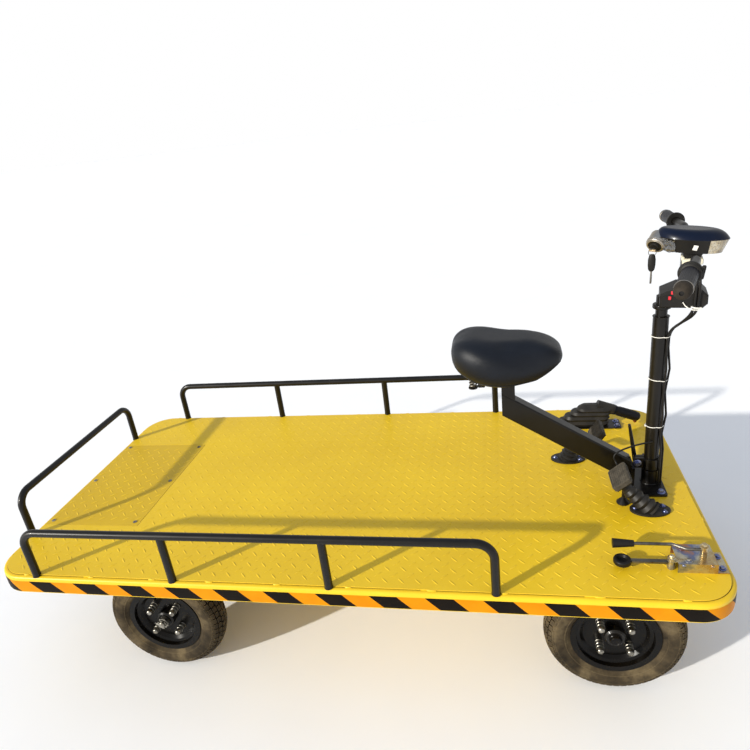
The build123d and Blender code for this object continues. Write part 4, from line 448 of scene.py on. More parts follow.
RIM_LENGTH = 2 * (DECK_X1 - DECK_X0 + 2 * DECK_Y - 4 * DECK_R) + 2 * pi * DECK_R
TAPE_TOP, TAPE_LOW, TAPE_T = 401.5, 364.5, 0.8
TAPE_ROWS, TAPE_STEP = 4, 7
TAPE_SEAM = 0.62
STRIPE = 142.33
STRIPE_START = -882.5 - (DECK_X0 + DECK_R)
tape = bmesh.new()
seam_at = RIM_LENGTH * TAPE_SEAM
seam_at += (RIM_LENGTH + STRIPE_START - seam_at) % STRIPE
for k in range(int(RIM_LENGTH // (STRIPE / 2)) + 1):
    s0 = seam_at + k * STRIPE / 2
    s1 = min(s0 + STRIPE / 2, seam_at + RIM_LENGTH)
    cuts = max(2, int((s1 - s0) / TAPE_STEP))
    rows = []
    for c in range(cuts + 1):
        column = []
        for v in range(TAPE_ROWS + 1):
            z = TAPE_TOP + (TAPE_LOW - TAPE_TOP) * v / TAPE_ROWS
            p, out = rim_point(s0 + (s1 - s0) * c / cuts + (TAPE_TOP - z))
            lift = TAPE_T if 0 < v < TAPE_ROWS else TAPE_T * 0.3
            column.append(tape.verts.new(MM @ Vector((p.x + out.x * lift, p.y + out.y * lift, z))))
        rows.append(column)
    for a, b in zip(rows, rows[1:]):
        for v in range(TAPE_ROWS):
            tape.faces.new([a[v], b[v], b[v + 1], a[v + 1]]).material_index = k % 2
show("hazard_tape", tape, [BLACK_TAPE, ORANGE_TAPE], "chassis", 60)

# Short welds along the plate's edge, with an open joint between them
welds = bmesh.new()
joint = bmesh.new()
WELDS = 30
WELD_MIN, WELD_SPREAD = 15, 8
BEAD_RADII = [1.2, 2.4, 2.9, 2.6, 2.4, 1.1]
PLATE_EDGE = 11.4
for k in range(WELDS):
    s = RIM_LENGTH * (k + 0.25 * random.random()) / WELDS
    long = WELD_MIN + WELD_SPREAD * random.random()
    beads = [rim_point(s + long * t / 5, PLATE_EDGE - 0.6 * (t % 2))[0] for t in range(6)]
    sweep(welds, [(p.x, p.y, DECK_Z - 2.2) for p in beads], BEAD_RADII, steps=8)
    gap = RIM_LENGTH / WELDS - long
    line = [rim_point(s + long + gap * t / 24, PLATE_EDGE + 0.2)[0] for t in range(25)]
    sweep(joint, [(p.x, p.y, DECK_Z - 2.7) for p in line], 0.75, steps=6)
show("edge_welds", welds, YELLOW, "chassis", 60)
show("edge_joint", joint, UMBER, "chassis", 60)

# Rail feet: weld collars round each post, down to the frame's top
COLLAR = [(11.0, 6.2), (11.3, 5.2), (11.6, 3.8), (11.8, 1.8), (11.9, 0.0)]
feet = bmesh.new()
posts = [(x, side * RAIL_Y) for x in RAIL_POSTS for side in (1, -1)]
posts += [(REAR_RAIL_X, side * REAR_RAIL_Y) for side in (1, -1)]
for x, y in posts:
    lathe(feet, COLLAR, at(x, y, DECK_Z - 3.2), 20)
show("rail_feet", feet, BLACK, "chassis")

# Hatch screws with a cross slot, the slot a dark bar of painted shade
SCREW = [(0, -2), (3.2, -2), (6.6, 0.1), (6.4, 1.4), (4.6, 2.4), (2.2, 2.8), (0, 2.9)]
SCREW_INSET, SCREW_Y = 18, 232
screws = bmesh.new()
for x in (HATCH_X0 + SCREW_INSET, HATCH_X1 - SCREW_INSET):
    for y in (-SCREW_Y, 0, SCREW_Y):
        lathe(screws, SCREW, at(x, y, DECK_Z), 20)
        for turn in (20, 110):
            slab(screws, at(x, y, DECK_Z + 2.7, spin=turn), (6.4, 1.1, 0.6), 0.1, 1, 1)
show("hatch_screws", screws, [ZINC, PAINTED_SHADE], "chassis")

# Shade in the gap round the hatch
SEAM_Z, SEAM_W, SEAM_T = DECK_Z - 1.8, 1.7, 1.2
seam = bmesh.new()
for side in (-1, 1):
    middle = at((HATCH_X0 + HATCH_X1) / 2, side * (HATCH_Y + 1.0), SEAM_Z)
    slab(seam, middle, (HATCH_X1 - HATCH_X0 + 4, SEAM_W, SEAM_T), 0.2)
for x in (HATCH_X0 - 1.0, HATCH_X1 + 1.0):
    slab(seam, at(x, 0, SEAM_Z), (SEAM_W, 2 * HATCH_Y + 4, SEAM_T), 0.2)
show("hatch_seam", seam, [PAINTED_SHADE], "chassis")


# Wheels
def arc_points(a, b, c, steps):
    """Points from a to c on the circle through a, b and c."""
    ax, ay, bx, by, cx, cy = *a, *b, *c
    d = 2 * (ax * (by - cy) + bx * (cy - ay) + cx * (ay - by))
    ux = ((ax**2 + ay**2) * (by - cy) + (bx**2 + by**2) * (cy - ay) + (cx**2 + cy**2) * (ay - by)) / d
    uy = ((ax**2 + ay**2) * (cx - bx) + (bx**2 + by**2) * (ax - cx) + (cx**2 + cy**2) * (bx - ax)) / d
    r = math.hypot(ax - ux, ay - uy)
    t0 = math.atan2(ay - uy, ax - ux)
    t1 = math.atan2(cy - uy, cx - ux)
    if t1 - t0 > pi:
        t1 -= 2 * pi
    if t0 - t1 > pi:
        t1 += 2 * pi
    return [(ux + r * cos(t0 + (t1 - t0) * k / steps), uy + r * sin(t0 + (t1 - t0) * k / steps))
            for k in range(steps + 1)]


TREAD_DEPTH, PITCHES = 5.4, 56
SHOULDER, FLOOR_EDGE, TREAD_FROM = (34, 169), (35.4, 163.4), 150.0
side_skin = arc_points((29, 116), (42, 142.5), SHOULDER, 16)
crown_skin = arc_points(SHOULDER, (0, TYRE_R), (-SHOULDER[0], SHOULDER[1]), 28)
skin = side_skin[6:] + crown_skin[1:-1] + [(-a, r) for a, r in side_skin[:5:-1]]
reach = [0.0]
for p, q in zip(skin, skin[1:]):
    reach.append(reach[-1] + math.dist(p, q))
MIDDLE = reach[-1] / 2


def on_tread(t, angle, sink):
    """Point on the tyre's skin: t across from the middle, angle round, sink below the skin."""
    t = min(max(t + MIDDLE, 0.0), reach[-1] - 1e-6)
    k = max(i for i in range(len(reach) - 1) if reach[i] <= t)
    share = (t - reach[k]) / (reach[k + 1] - reach[k])
    a = skin[k][0] + (skin[k + 1][0] - skin[k][0]) * share
    r = skin[k][1] + (skin[k + 1][1] - skin[k][1]) * share
    da, dr = skin[k + 1][0] - skin[k][0], skin[k + 1][1] - skin[k][1]
    size = math.hypot(da, dr)
    a, r = a - dr / size * sink, r + da / size * sink
    return Vector((r * cos(angle), r * sin(angle), a))


# Block rows: from and to across the tread, chevron in millimetres, shift in pitches
ROWS = ((1.4, 14.5, 3.2, 0.0), (-14.5, -1.4, -3.2, 0.5), (17.4, 30.0, -2.6, 0.25), (-30.0, -17.4, 2.6, 0.75),
        (32.6, 44.5, 2.2, 0.5), (-44.5, -32.6, -2.2, 0.0), (46.6, 53.5, 0.0, 0.1), (-53.5, -46.6, 0.0, 0.6))
PITCH = 2 * pi / PITCHES
wall = [(r, a) for a, r in side_skin]
foot = [(103.0, 29.0), (114.0, 29.6), (wall[0][0] + 0.5, wall[0][1] + 1.6), (wall[1][0], wall[1][1] + 1.2)]
ledge = [(wall[4][0], wall[4][1] + 0.8), (wall[4][0] + 1.2, wall[4][1] + 0.2)]
trough = arc_points(FLOOR_EDGE, (0, TYRE_R - TREAD_DEPTH), (-FLOOR_EDGE[0], FLOOR_EDGE[1]), 20)
CARCASS = foot + wall[2:4] + ledge + wall[5:12] + [(r, a) for a, r in trough]
CARCASS += [(r, -a) for r, a in reversed(foot + wall[2:12])]


def tread_block(bm, place, t0, t1, start, bend):
    """One block: a bent outline that stands on the tread floor and narrows at its top."""
    tm = (t0 + t1) / 2
    s0 = (start + 0.09) * PITCH
    s1 = (start + 0.91) * PITCH
    sm = (s0 + s1) / 2 + bend / 2
    shape = [(t0, s0), (tm, s0 + bend), (t1, s0), (t1, s1), (tm, s1 + bend), (t0, s1)]
    rings = []
    for scale, sink in ((1.04, TREAD_DEPTH + 0.6), (1.0, 0.8), (0.9, 0.0)):
        spots = [on_tread(tm + (t - tm) * scale, sm + (s - sm) * scale, sink) for t, s in shape]
        rings.append([bm.verts.new(place @ p) for p in spots])
    # Lower sides of each block take the groove finish: painted shade
    band(bm, rings[0], rings[1], 1)
    band(bm, rings[1], rings[2], 0)
    top = rings[2]
    bm.faces.new([top[0], top[1], top[4], top[5]])
    bm.faces.new([top[1], top[2], top[3], top[4]])


NUT_CIRCLE = 52.5
NUT = [(11.4, 9.8), (11.4, 11.0), (10.8, 11.6), (10.6, 12.4), (10.6, 21.0), (9.8, 21.8), (9.8, 23.0),
       (10.5, 23.8), (10.5, 30.5), (9.8, 31.2), (9.8, 32.2), (10.5, 33.0), (10.3, 37.0), (9.5, 40.2),
       (7.8, 43.0), (5.2, 45.0), (2.4, 46.0), (0, 46.2)]
FRONT_CAP = [(16.5, 31.8), (16.5, 35.0), (15.4, 36.2), (15.0, 40.0), (13.0, 42.4), (8.0, 43.6), (7.4, 43.0),
             (0, 43.2)]
SPLIT_PIN = [(-24, 4, 46), (-14, 0.6, 47.4), (0, 0, 47.6), (15, 0, 47.6), (19, 3, 48.4), (22, 0, 50),
             (19, -3, 48.4), (15, -0.8, 47.4), (0, -0.8, 46.4), (-14, -3, 46), (-22, -7, 43)]
VALVE = [(0, -8), (5.4, -8), (5.0, -2), (4.0, 4), (4.0, 14), (4.6, 14.4), (4.6, 22), (3.6, 23.4), (0, 23.6)]
for wheel, (wx, wy) in WHEELS.items():
    place = at(wx, wy, WHEEL_Z, aim=(0, math.copysign(1, wy), 0))
    tyre = bmesh.new()
    lathe(tyre, CARCASS, place, 96)
    inverse = place.inverted()
    for face in tyre.faces:
        # Faces of the tread floor take the groove finish: clean rubber and painted shade
        middle = inverse @ face.calc_center_median()
        if abs(middle.z) < FLOOR_EDGE[0] and math.hypot(middle.x, middle.y) > TREAD_FROM:
            face.material_index = 1
    for t0, t1, chevron, shift in ROWS:
        for k in range(PITCHES):
            tread_block(tyre, place, t0, t1, k + shift, chevron / TYRE_R)
    body = "wheel_" + wheel
    piece = show("tread_" + wheel, tyre, [TYRE, GROOVE_CLEAN_PAINTED_SHADE], body, 32)
    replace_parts(piece, "tyre_" + wheel)

    trim = bmesh.new()
    for k in range(4):
        a = radians(45 + 90 * k)
        nut = at(NUT_CIRCLE * cos(a), NUT_CIRCLE * sin(a), 0, spin=15 * k)
        lathe(trim, NUT, place @ MM.inverted() @ nut, 20)
    if wheel.startswith("front"):
        lathe(trim, FRONT_CAP, place, 28, 1)
    else:
        lathe(trim, [(21.0, 31.8), (21.0, 34.0), (0, 34.0)], place, 24, 1)
        lathe(trim, [(0, 34.0), (17.5, 34.0), (17.5, 43.0), (15.5, 45.0), (9.6, 45.0)], place, 6, 0)
        for k in range(6):
            tooth = place @ turned(60 * k + 30) @ Matrix.Translation((12.4, 0, 47.0))
            slab(trim, tooth, (5.0, 8.6, 5.0), 0.5, 0)
        lathe(trim, [(9.4, 44.0), (9.4, 52.0), (8.0, 53.4), (0, 53.6)], place, 18, 0)
        sweep(trim, SPLIT_PIN, 1.3, place, 6, 0)
    stem = place @ turned(102) @ Matrix.Translation((84, 0, 12))
    lathe(trim, VALVE, stem @ turned(-22, "Y"), 14, 2)
    show("nuts_" + wheel, trim, [ZINC, RIM, RUBBER], body)


# Steering head: grips, pod trim, lock, key, box buttons
def grip_line(side):
    """Start of one grip on the bar, and the direction along it."""
    inner = HEAD @ Vector((35.4, side * 282.5, 709.5))
    outer = HEAD @ Vector((11.4, side * 416.7, 705.0))
    return inner, (outer - inner).normalized()


def swept_grip(bm, side):
    """One grip on the bar: two flange rings, the barrel, a bead and a domed end with a hole darkened by
    painted shade.
    """
    start, along = grip_line(side)
    place = at(*start, aim=along)
    flange = [(12.0, -0.6), (23.4, -0.6), (25.0, 0.8), (25.0, 4.6), (24.2, 5.8), (21.0, 6.4), (20.6, 8.2),
              (22.2, 8.8), (22.8, 10.2), (22.4, 12.6), (21.2, 13.6), (18.0, 14.2)]
    barrel = [(18.0, 14.2), (17.5, 17.0), (17.2, 40.0), (17.4, 74.0), (17.8, 100.0), (18.0, 110.6)]
    bead = [(18.0, 110.6), (18.7, 111.2), (18.7, 112.4), (18.2, 113.4)]
    dome = [(18.2, 113.4), (18.2, 120.0), (17.4, 127.0), (15.6, 132.6), (12.6, 136.6), (9.0, 138.8),
            (5.0, 139.8)]
    lathe(bm, flange, place, 40, 0)
    lathe(bm, barrel, place, 40, 1)
    lathe(bm, bead, place, 40, 2)
    lathe(bm, dome, place, 40, 4)
    # The hole in the end is lined with painted shade
    lathe(bm, [(5.0, 139.8), (4.4, 139.2), (4.2, 132.0), (0, 131.6)], place, 40, 3)
    rib = [(17.2, 0, 19.0), (17.1, 0, 40.0), (17.3, 0, 74.0), (17.6, 0, 104.0)]
    for k in range(24):
        sweep(bm, rib, 0.55, place @ turned(15 * k), 6, 1)


grip = bmesh.new()
for side in (-1, 1):
    swept_grip(grip, side)
piece = show("bar_grips", grip, [PLASTIC, GRIP, CHROME, PAINTED_SHADE, DUSTY], "steering", 40)
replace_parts(piece, "grips")

head = bmesh.new()
slab(head, at(61.0, 0, 667.0, base=HEAD), (48.0, 53.0, 15.0), 4.0, 0, 3)
slab(head, at(39.5, 0, 673.0, base=HEAD), (7.0, 44.0, 12.0), 2.6, 0, 3)
for side in (-1, 1):
    bolt(head, at(72.0, side * 26.4, 666.0, aim=(0, side, 0), base=HEAD), 7.0, 3.5, True, 1)
show("pod_collar", head, [CREAM, ZINC], "steering")

thumb = bmesh.new()
tilt = turned(-8, "Y")
clamp = [(11.2, -7.0), (18.0, -7.0), (19.4, -5.4), (19.4, 5.4), (18.0, 7.0), (11.2, 7.0)]
start, along = grip_line(-1)
lathe(thumb, clamp, at(*(start - along * 8.0), aim=along), 30, 0)
slab(thumb, at(50.0, -276.0, 712.0, base=HEAD) @ tilt, (18.0, 8.0, 10.0), 2.4, 0, 2)
slab(thumb, at(58.5, -284.0, 710.0, base=HEAD) @ tilt, (8.0, 9.0, 30.0), 3.0, 0, 3)
show("thumb_switch", thumb, [PLASTIC], "steering")

buttons = bmesh.new()
pressed = Matrix.Translation((0, 0, 1.6)) @ turned(9, "X")
for x, z in ((14.5, 580.0), (20.0, 594.0)):
    place = at(x, -42.0, z, aim=(0, -1, 0), base=HEAD)
    slab(buttons, place, (9.6, 12.4, 2.4), 1.0, 1, 2)
    slab(buttons, place @ pressed, (6.6, 9.4, 3.4), 1.2, 0, 3)
BOX_SCREW = [(0, -2.4), (3.6, -2.2), (3.4, -0.2), (2.2, 0.6), (0, 0.8)]
for x, y in ((6.0, -34.0), (90.0, -34.0), (6.0, 34.0), (90.0, 34.0)):
    lathe(buttons, BOX_SCREW, at(x, y, 552.0, aim=(0, 0, -1), base=HEAD), 16, 2)
show("box_buttons", buttons, [RED, PLASTIC, ZINC], "steering")


def cling(bm, under, place, size, cells, lift, mat=0, noise=0.0):
    """Thin patch laid on a node along the frame's Z."""
    target = NODES[under]
    down = (place @ Vector((0, 0, -1)) - place @ Vector((0, 0, 0))).normalized()
    rows = []
    for i in range(cells[0] + 1):
        row = []
        for j in range(cells[1] + 1):
            u = (i / cells[0] - 0.5) * size[0]
            v = (j / cells[1] - 0.5) * size[1]
            hit, where = target.ray_cast(place @ Vector((u, v, 40.0)), down)[:2]
            high = lift + noise * random.random()
            row.append(bm.verts.new(where - down * high * 0.001) if hit else None)
        rows.append(row)
    for a, b in zip(rows, rows[1:]):
        for j in range(cells[1]):
            quad = [a[j], a[j + 1], b[j + 1], b[j]]
            if all(quad):
                bm.faces.new(quad).material_index = mat


tag = bmesh.new()
place = at(929.8, -56.9, 1124.4, aim=(-0.17, -0.94, -0.31), spin=-14.0)
cling(tag, "display_body", place, (10.4, 13.4), (6, 8), 0.35)
show("blank_tag", tag, [WHITE], "steering", 60)

film = bmesh.new()
place = at(874.0, -31.0, 1131.0, aim=(-0.69, -0.68, -0.25))
cling(film, "display_body", place, (38.0, 44.0), (9, 11), 0.8, 0, 4.6)
show("clear_film", film, [CLEAR], "steering", 24)

LOCK_AT, LOCK_AIM = (-27.0, -20.0, 708.0), (-0.36, -0.78, -0.52)
lock = bmesh.new()
LOCK = at(*LOCK_AT, aim=LOCK_AIM, base=HEAD)
lathe(lock, [(23.3, -11.0), (24.2, -9.6), (24.2, -6.4), (23.3, -5.0)], LOCK, 48, 0)
lathe(lock, [(18.8, -0.3), (19.6, 0.7), (18.6, 1.5), (17.2, 1.3), (16.6, 0.5)], LOCK, 48, 0)
lathe(lock, [(16.6, 0.5), (16.2, 0.2), (10.2, 0.2)], LOCK, 48, 1)
lathe(lock, [(10.2, 0.2), (10.2, 2.4), (9.2, 3.2), (0, 3.2)], LOCK, 36, 1)
show("lock_rings", lock, [CHROME, PLASTIC], "steering")

key = bmesh.new()
slab(key, LOCK @ Matrix.Translation((0, 0, 9.8)), (12.6, 3.0, 9.6), 1.3, 1, 3)
slab(key, LOCK @ Matrix.Translation((0, 0, 15.0)), (17.6, 3.8, 6.2), 1.3, 0, 3)
aim = (HEAD.to_3x3() @ Vector(LOCK_AIM)).normalized()
fob_at = HEAD @ Vector(LOCK_AT) + aim * 14.0
hang = MM @ Matrix.Translation(fob_at) @ turned(HEAD_TURN)
loop = [(9.0 * sin(t * pi / 8), 0, -5.6 + 8.6 * cos(t * pi / 8)) for t in range(16)]
sweep(key, loop, 0.9, hang, 8, 2, True)
FOB = ((4.4, 2.4, -10.0), (7.2, 3.8, -14.0), (9.0, 4.6, -24.0), (9.0, 4.6, -38.0), (7.6, 4.0, -49.0),
       (4.2, 2.2, -54.0))
rings = []
for rx, ry, z in FOB:
    oval = [Vector((rx * cos(a), ry * sin(a), z)) for a in circle(24)]
    rings.append([key.verts.new(hang @ v) for v in oval])
for a, b in zip(rings, rings[1:]):
    band(key, a, b, 1)
key.faces.new(rings[0]).material_index = 1
key.faces.new(rings[-1][::-1]).material_index = 1
slab(key, hang @ Matrix.Translation((0, 0, -69.0)), (4.6, 1.8, 34.0), 0.5, 2, 2)
for k in range(4):
    slab(key, hang @ Matrix.Translation((2.3, 0, -64.0 - 5.0 * k)), (1.6, 1.4, 2.4), 0.3, 2, 1)
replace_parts(show("key_and_fob", key, [BRASS, PLASTIC, STEEL], "steering"), "ignition_key")

# Column: weld, crimp, ties, bolts
column = bmesh.new()
ring = []
for k, a in enumerate(circle(44)):
    r = 24.6 + 0.5 * sin(k * 2.1)
    ring.append((COLUMN_X + r * cos(a), r * sin(a), DECK_Z + 6.4))
sweep(column, ring, [2.2 + 0.5 * (k % 2) for k in range(44)], steps=8, closed=True)
crimp = [(20.2, 935.0), (21.4, 935.6), (21.4, 936.6), (19.6, 937.4)]
lathe(column, crimp, at(COLUMN_X, 0, 0), 36)
show("column_welds", column, BLACK, "chassis", 60)

# Each tie runs round the tube and out over the wires, which lie at WIRES_AT degrees
WIRES_AT = -35.0
ties = bmesh.new()
for z, lean in ((882.0, 0.04), (756.0, -0.05), (612.0, 0.08)):
    loop = []
    for a in circle(64):
        off = (math.degrees(a) - WIRES_AT + 180.0) % 360.0 - 180.0
        bulge = min(1.0, max(0.0, (46.0 - abs(off)) / 24.0))
        r = 20.9 + 6.2 * bulge * bulge * (3 - 2 * bulge)
        loop.append((COLUMN_X + r * cos(a), r * sin(a), z + lean * r * cos(a)))
    for lift in (-0.45, 0.45):
        sweep(ties, [(x, y, zz + lift) for x, y, zz in loop], 0.65, steps=8, closed=True)
    slab(ties, at(COLUMN_X - 22.4, -3.0, z - lean * 22.0), (4.2, 5.0, 5.0), 0.8)
show("cable_ties", ties, [WHITE], "chassis")

BOOT_BOLT = [(7.6, 4.9), (7.6, 5.9), (5.6, 6.3), (5.2, 8.6), (3.8, 10.0), (0, 10.4)]
bolts = bmesh.new()
for x in (817.5, 895.5):
    for y in (-61.0, 79.0):
        bolt(bolts, at(x, y, DECK_Z + 6.0, spin=x + y), 13.0, 7.0)
for x in (655.0, 845.0):
    for y in (344.0, 376.0):
        bolt(bolts, at(x, y, DECK_Z + 4.0, spin=x + y), 11.0, 6.0)
for cx, cy in ((849.5, -140.0), (659.5, 132.0)):
    for dx, dy in ((35.0, 13.5), (35.0, -13.5), (-40.0, 0.0)):
        lathe(bolts, BOOT_BOLT, at(cx + dx, cy + dy, DECK_Z), 20)
bolt(bolts, at(838.0, -10.6, 490.0, aim=(0, -1, 0), spin=12.0), 13.0, 7.5)
show("control_bolts", bolts, [BLUE_ZINC], "chassis")

# Gear selector: rivets, nuts and washers on the plated bracket
GEAR_PIVOT, GEAR_POST = (921.5, -358.0), (847.5, -372.0)
gear = bmesh.new()
for x in (872.0, 935.0):
    lathe(gear, [(4.6, -0.2), (4.4, 1.2), (3.0, 2.4), (0, 2.9)], at(x, -389.0, 438.0, aim=(0, -1, 0)), 16)
for x, y in ((880.0, -330.0), (932.0, -332.0), (884.0, -376.0)):
    bolt(gear, at(x, y, 444.0, spin=x), 10.0, 5.0)
for y in (-374.0, -332.0):
    bolt(gear, at(961.0, y, 421.0, spin=y), 10.0, 5.0, True, 1)
lathe(gear, [(8.4, 472.0), (10.0, 472.2), (10.0, 474.0), (0, 474.0)], at(*GEAR_PIVOT, 0), 24)
bolt(gear, at(*GEAR_PIVOT, 474.0, spin=8.0), 12.0, 6.5, False)
bolt(gear, at(*GEAR_POST, 448.0, spin=20.0), 11.0, 6.0)
for z in (424.0, 430.0, 442.0):
    lathe(gear, [(9.1, z - 0.9), (9.9, z - 0.5), (9.9, z + 0.5), (9.1, z + 0.9)], at(*GEAR_POST, 0), 28)
show("gear_fixings", gear, [RAINBOW, BLUE_ZINC], "chassis")

# Parking brake: ring, end cap and tip of the grip
BRAKE_AT, BRAKE_DIP = (835.5, 360.0, 476.0), radians(20)
BRAKE_DIR = (cos(BRAKE_DIP), 0, -sin(BRAKE_DIP))
BRAKE_TIP = [(0, -3.0), (6.4, -3.0), (6.2, 2.0), (4.6, 7.0), (2.0, 9.0), (0, 9.2)]
brake = bmesh.new()
grip_at = at(*BRAKE_AT, aim=BRAKE_DIR)
lathe(brake, [(15.4, 2.4), (16.9, 2.8), (16.9, 5.6), (15.4, 6.0)], grip_at, 32, 0)
lathe(brake, [(15.4, 12.0), (16.3, 13.0), (16.4, 70.0), (16.2, 78.0), (15.4, 79.0)], grip_at, 32, 1)
lathe(brake, [(10.5, 87.8), (10.0, 89.6), (0, 90.0)], grip_at, 24, 0)
for k in range(12):
    rib = [(16.2, 0, 16.0), (16.5, 0, 40.0), (16.4, 0, 74.0)]
    sweep(brake, rib, 0.9, grip_at @ turned(30 * k), 6, 1)
tip = Vector(BRAKE_AT) + Vector(BRAKE_DIR) * 80.0 + Vector((-5.0, -2.0, -13.5))
lathe(brake, BRAKE_TIP, at(*tip, aim=(0.1, -0.1, -1)), 18, 2)
show("brake_grip", brake, [COVER, GRIP, BROWN], "chassis")

# Pedals: studs and a rim on each pad, a collar on the near rod
PADS = (((775.5, -114.0, 506.0), 40.0), ((749.5, 132.0, 510.0), 55.0))
STUD_PITCH = 5.8
ROD_TOP = (791.5, -126.0, 476.0)
pedal = bmesh.new()
for pad, lean in PADS:
    t = radians(lean)
    level = Matrix(((0, -cos(t), -sin(t)), (1, 0, 0), (0, -sin(t), cos(t)))).to_4x4()
    place = MM @ Matrix.Translation(pad) @ level
    down = (place @ Vector((0, 0, -1)) - place @ Vector()).normalized()
    where = NODES["pedal_pads"].ray_cast(place @ Vector((8, 6, 60)), down)[1]
    place = place @ Matrix.Translation((0, 0, (place.inverted() @ where).z))
    for i in range(14):
        for j in range(8):
            stud = place @ Matrix.Translation(((i - 6.5) * STUD_PITCH, (j - 3.5) * STUD_PITCH, 0))
            lathe(pedal, [(2.2, -0.3), (1.9, 0.7), (0, 0.9)], stud, 8, 0)
    rim = []
    for a in circle(48):
        c, s = cos(a), sin(a)
        sx = math.copysign(abs(c) ** 0.28, c) * 42.6
        sy = math.copysign(abs(s) ** 0.28, s) * 25.2
        rim.append((sx, sy, 0.2))
    sweep(pedal, rim, 1.2, place, 8, 0, True)
along = (Vector(PADS[0][0]) - Vector(ROD_TOP)).normalized()
lathe(pedal, [(7.2, -4.0), (13.6, -4.0), (14.6, -2.4), (14.6, 12.0), (13.4, 14.0), (7.2, 14.4)],
      at(*ROD_TOP, aim=along), 28, 1)
show("pedal_studs", pedal, [PAD, RUBBER], "chassis", 50)

# Saddle: cover over foam, blown up in a cloth simulation
CUSHION = NODES["seat_cushion"]
LOW, HIGH = (Vector(v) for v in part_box("seat_cushion"))
MIDST = (LOW + HIGH) / 2
SHRINK = (0.993, 0.983, 0.968)
VOXEL, PUFF_CAP, PUFF_STEPS = 0.005, 0.005, 20
# The skirt hangs outside an oval over the seat plate
SKIRT, PLATE_X, PLATE_RX, PLATE_RY = 0.006, 0.4775, 0.075, 0.068
SLACK_LOW, SLACK_HIGH = 0.006, 0.004
foam = bmesh.new()
foam.from_mesh(CUSHION.data)
bmesh.ops.remove_doubles(foam, verts=foam.verts, dist=0.00002)
for v in foam.verts:
    v.co = Vector(MIDST[i] + (v.co[i] - MIDST[i]) * SHRINK[i] for i in range(3))
blank_mesh = bpy.data.meshes.new("saddle_blank")
foam.to_mesh(blank_mesh)
foam.free()
blank = bpy.data.objects.new("saddle_blank", blank_mesh)
SCENE.collection.objects.link(blank)


def settled(obj):
    """The object's mesh with its modifiers worked in."""
    graph = bpy.context.evaluated_depsgraph_get()
    return bpy.data.meshes.new_from_object(obj.evaluated_get(graph))


voxels = blank.modifiers.new("voxels", "REMESH")
voxels.mode = "VOXEL"
voxels.voxel_size = VOXEL
cover = settled(blank)
bpy.data.objects.remove(blank)
before = [v.co.copy() for v in cover.vertices]
saddle = bpy.data.objects.new("saddle", cover)
SCENE.collection.objects.link(saddle)
cloth = saddle.modifiers.new("cloth", "CLOTH")
cloth.settings.quality = 5
cloth.settings.mass = 0.3
cloth.settings.use_pressure = True
cloth.settings.uniform_pressure_force = 4.0
cloth.settings.effector_weights.gravity = 0.0
cloth.point_cache.frame_start = 1
cloth.point_cache.frame_end = PUFF_STEPS
for step in range(1, PUFF_STEPS + 1):
    SCENE.frame_set(step)
blown = settled(saddle)
after = [v.co.copy() for v in blown.vertices]
bpy.data.meshes.remove(blown)
saddle.modifiers.remove(cloth)
SCENE.frame_set(1)
for v, a, b in zip(cover.vertices, before, after):
    move = b - a
    if move.length > PUFF_CAP:
        move = move * (PUFF_CAP / move.length)
    v.co = a + move
smooth = saddle.modifiers.new("smooth", "SMOOTH")
smooth.factor = 0.5
smooth.iterations = 32
finer = saddle.modifiers.new("finer", "SUBSURF")
finer.levels = 1
finer.render_levels = 1
final = settled(saddle)
saddle.modifiers.clear()
saddle.data = final
for v in final.vertices:
    beyond = math.hypot((v.co.x - PLATE_X) / PLATE_RX, v.co.y / PLATE_RY) - 1.0
    low = min(1.0, max(0.0, (MIDST.z - v.co.z) / (MIDST.z - LOW.z)))
    v.co.z = max(v.co.z, LOW.z) - SKIRT * low * min(1.0, max(0.0, 2.5 * beyond))
    for i in range(3):
        v.co[i] = min(max(v.co[i], LOW[i] - SLACK_LOW), HIGH[i] + SLACK_HIGH)
final.polygons.foreach_set("use_smooth", [True] * len(final.polygons))
final.materials.clear()
final.materials.append(VINYL)
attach(saddle, "chassis")
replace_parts(saddle, "seat_cushion")

# Piping round the saddle's lower edge, found on the cover itself
skin_tree = BVHTree.FromPolygons([v.co for v in final.vertices], [p.vertices for p in final.polygons])
# Height of the lower edge above the deck, by distance from the saddle's rear
STATIONS = ((0, 423), (22, 395), (71, 372), (147, 366), (231, 366), (286, 404), (307, 418))
PIPING_RISE = 9.0


def lower_edge(x):
    """Height of the piping at x."""
    d = x - LOW.x * 1000
    for (d0, z0), (d1, z1) in zip(STATIONS, STATIONS[1:]):
        if d <= d1:
            return DECK_Z + z0 + (z1 - z0) * (d - d0) / (d1 - d0) + PIPING_RISE
    return DECK_Z + STATIONS[-1][1] + PIPING_RISE


def on_cover(start, aim):
    """Where a line meets the cover, in millimetres."""
    hit = skin_tree.ray_cast(Vector(start) * 0.001, Vector(aim))
    return hit[0] * 1000 if hit[0] else None


piping = []
rear, front = LOW.x * 1000, HIGH.x * 1000
for k in range(40):
    x = rear + 12 + (front - rear - 24) * k / 39
    piping.append(on_cover((x, -300, lower_edge(x)), (0, 1, 0)))
for y in (-20, -8, 8, 20):
    piping.append(on_cover((front + 200, y, lower_edge(front - 8)), (-1, 0, 0)))
for k in range(40):
    x = front - 12 - (front - rear - 24) * k / 39
    piping.append(on_cover((x, 300, lower_edge(x)), (0, -1, 0)))
for y in (30, 10, -10, -30):
    piping.append(on_cover((rear - 200, y, lower_edge(rear + 8)), (1, 0, 0)))
welt = bmesh.new()
sweep(welt, [p for p in piping if p], 1.5, steps=8, closed=True)
show("saddle_piping", welt, VINYL, "chassis", 60)

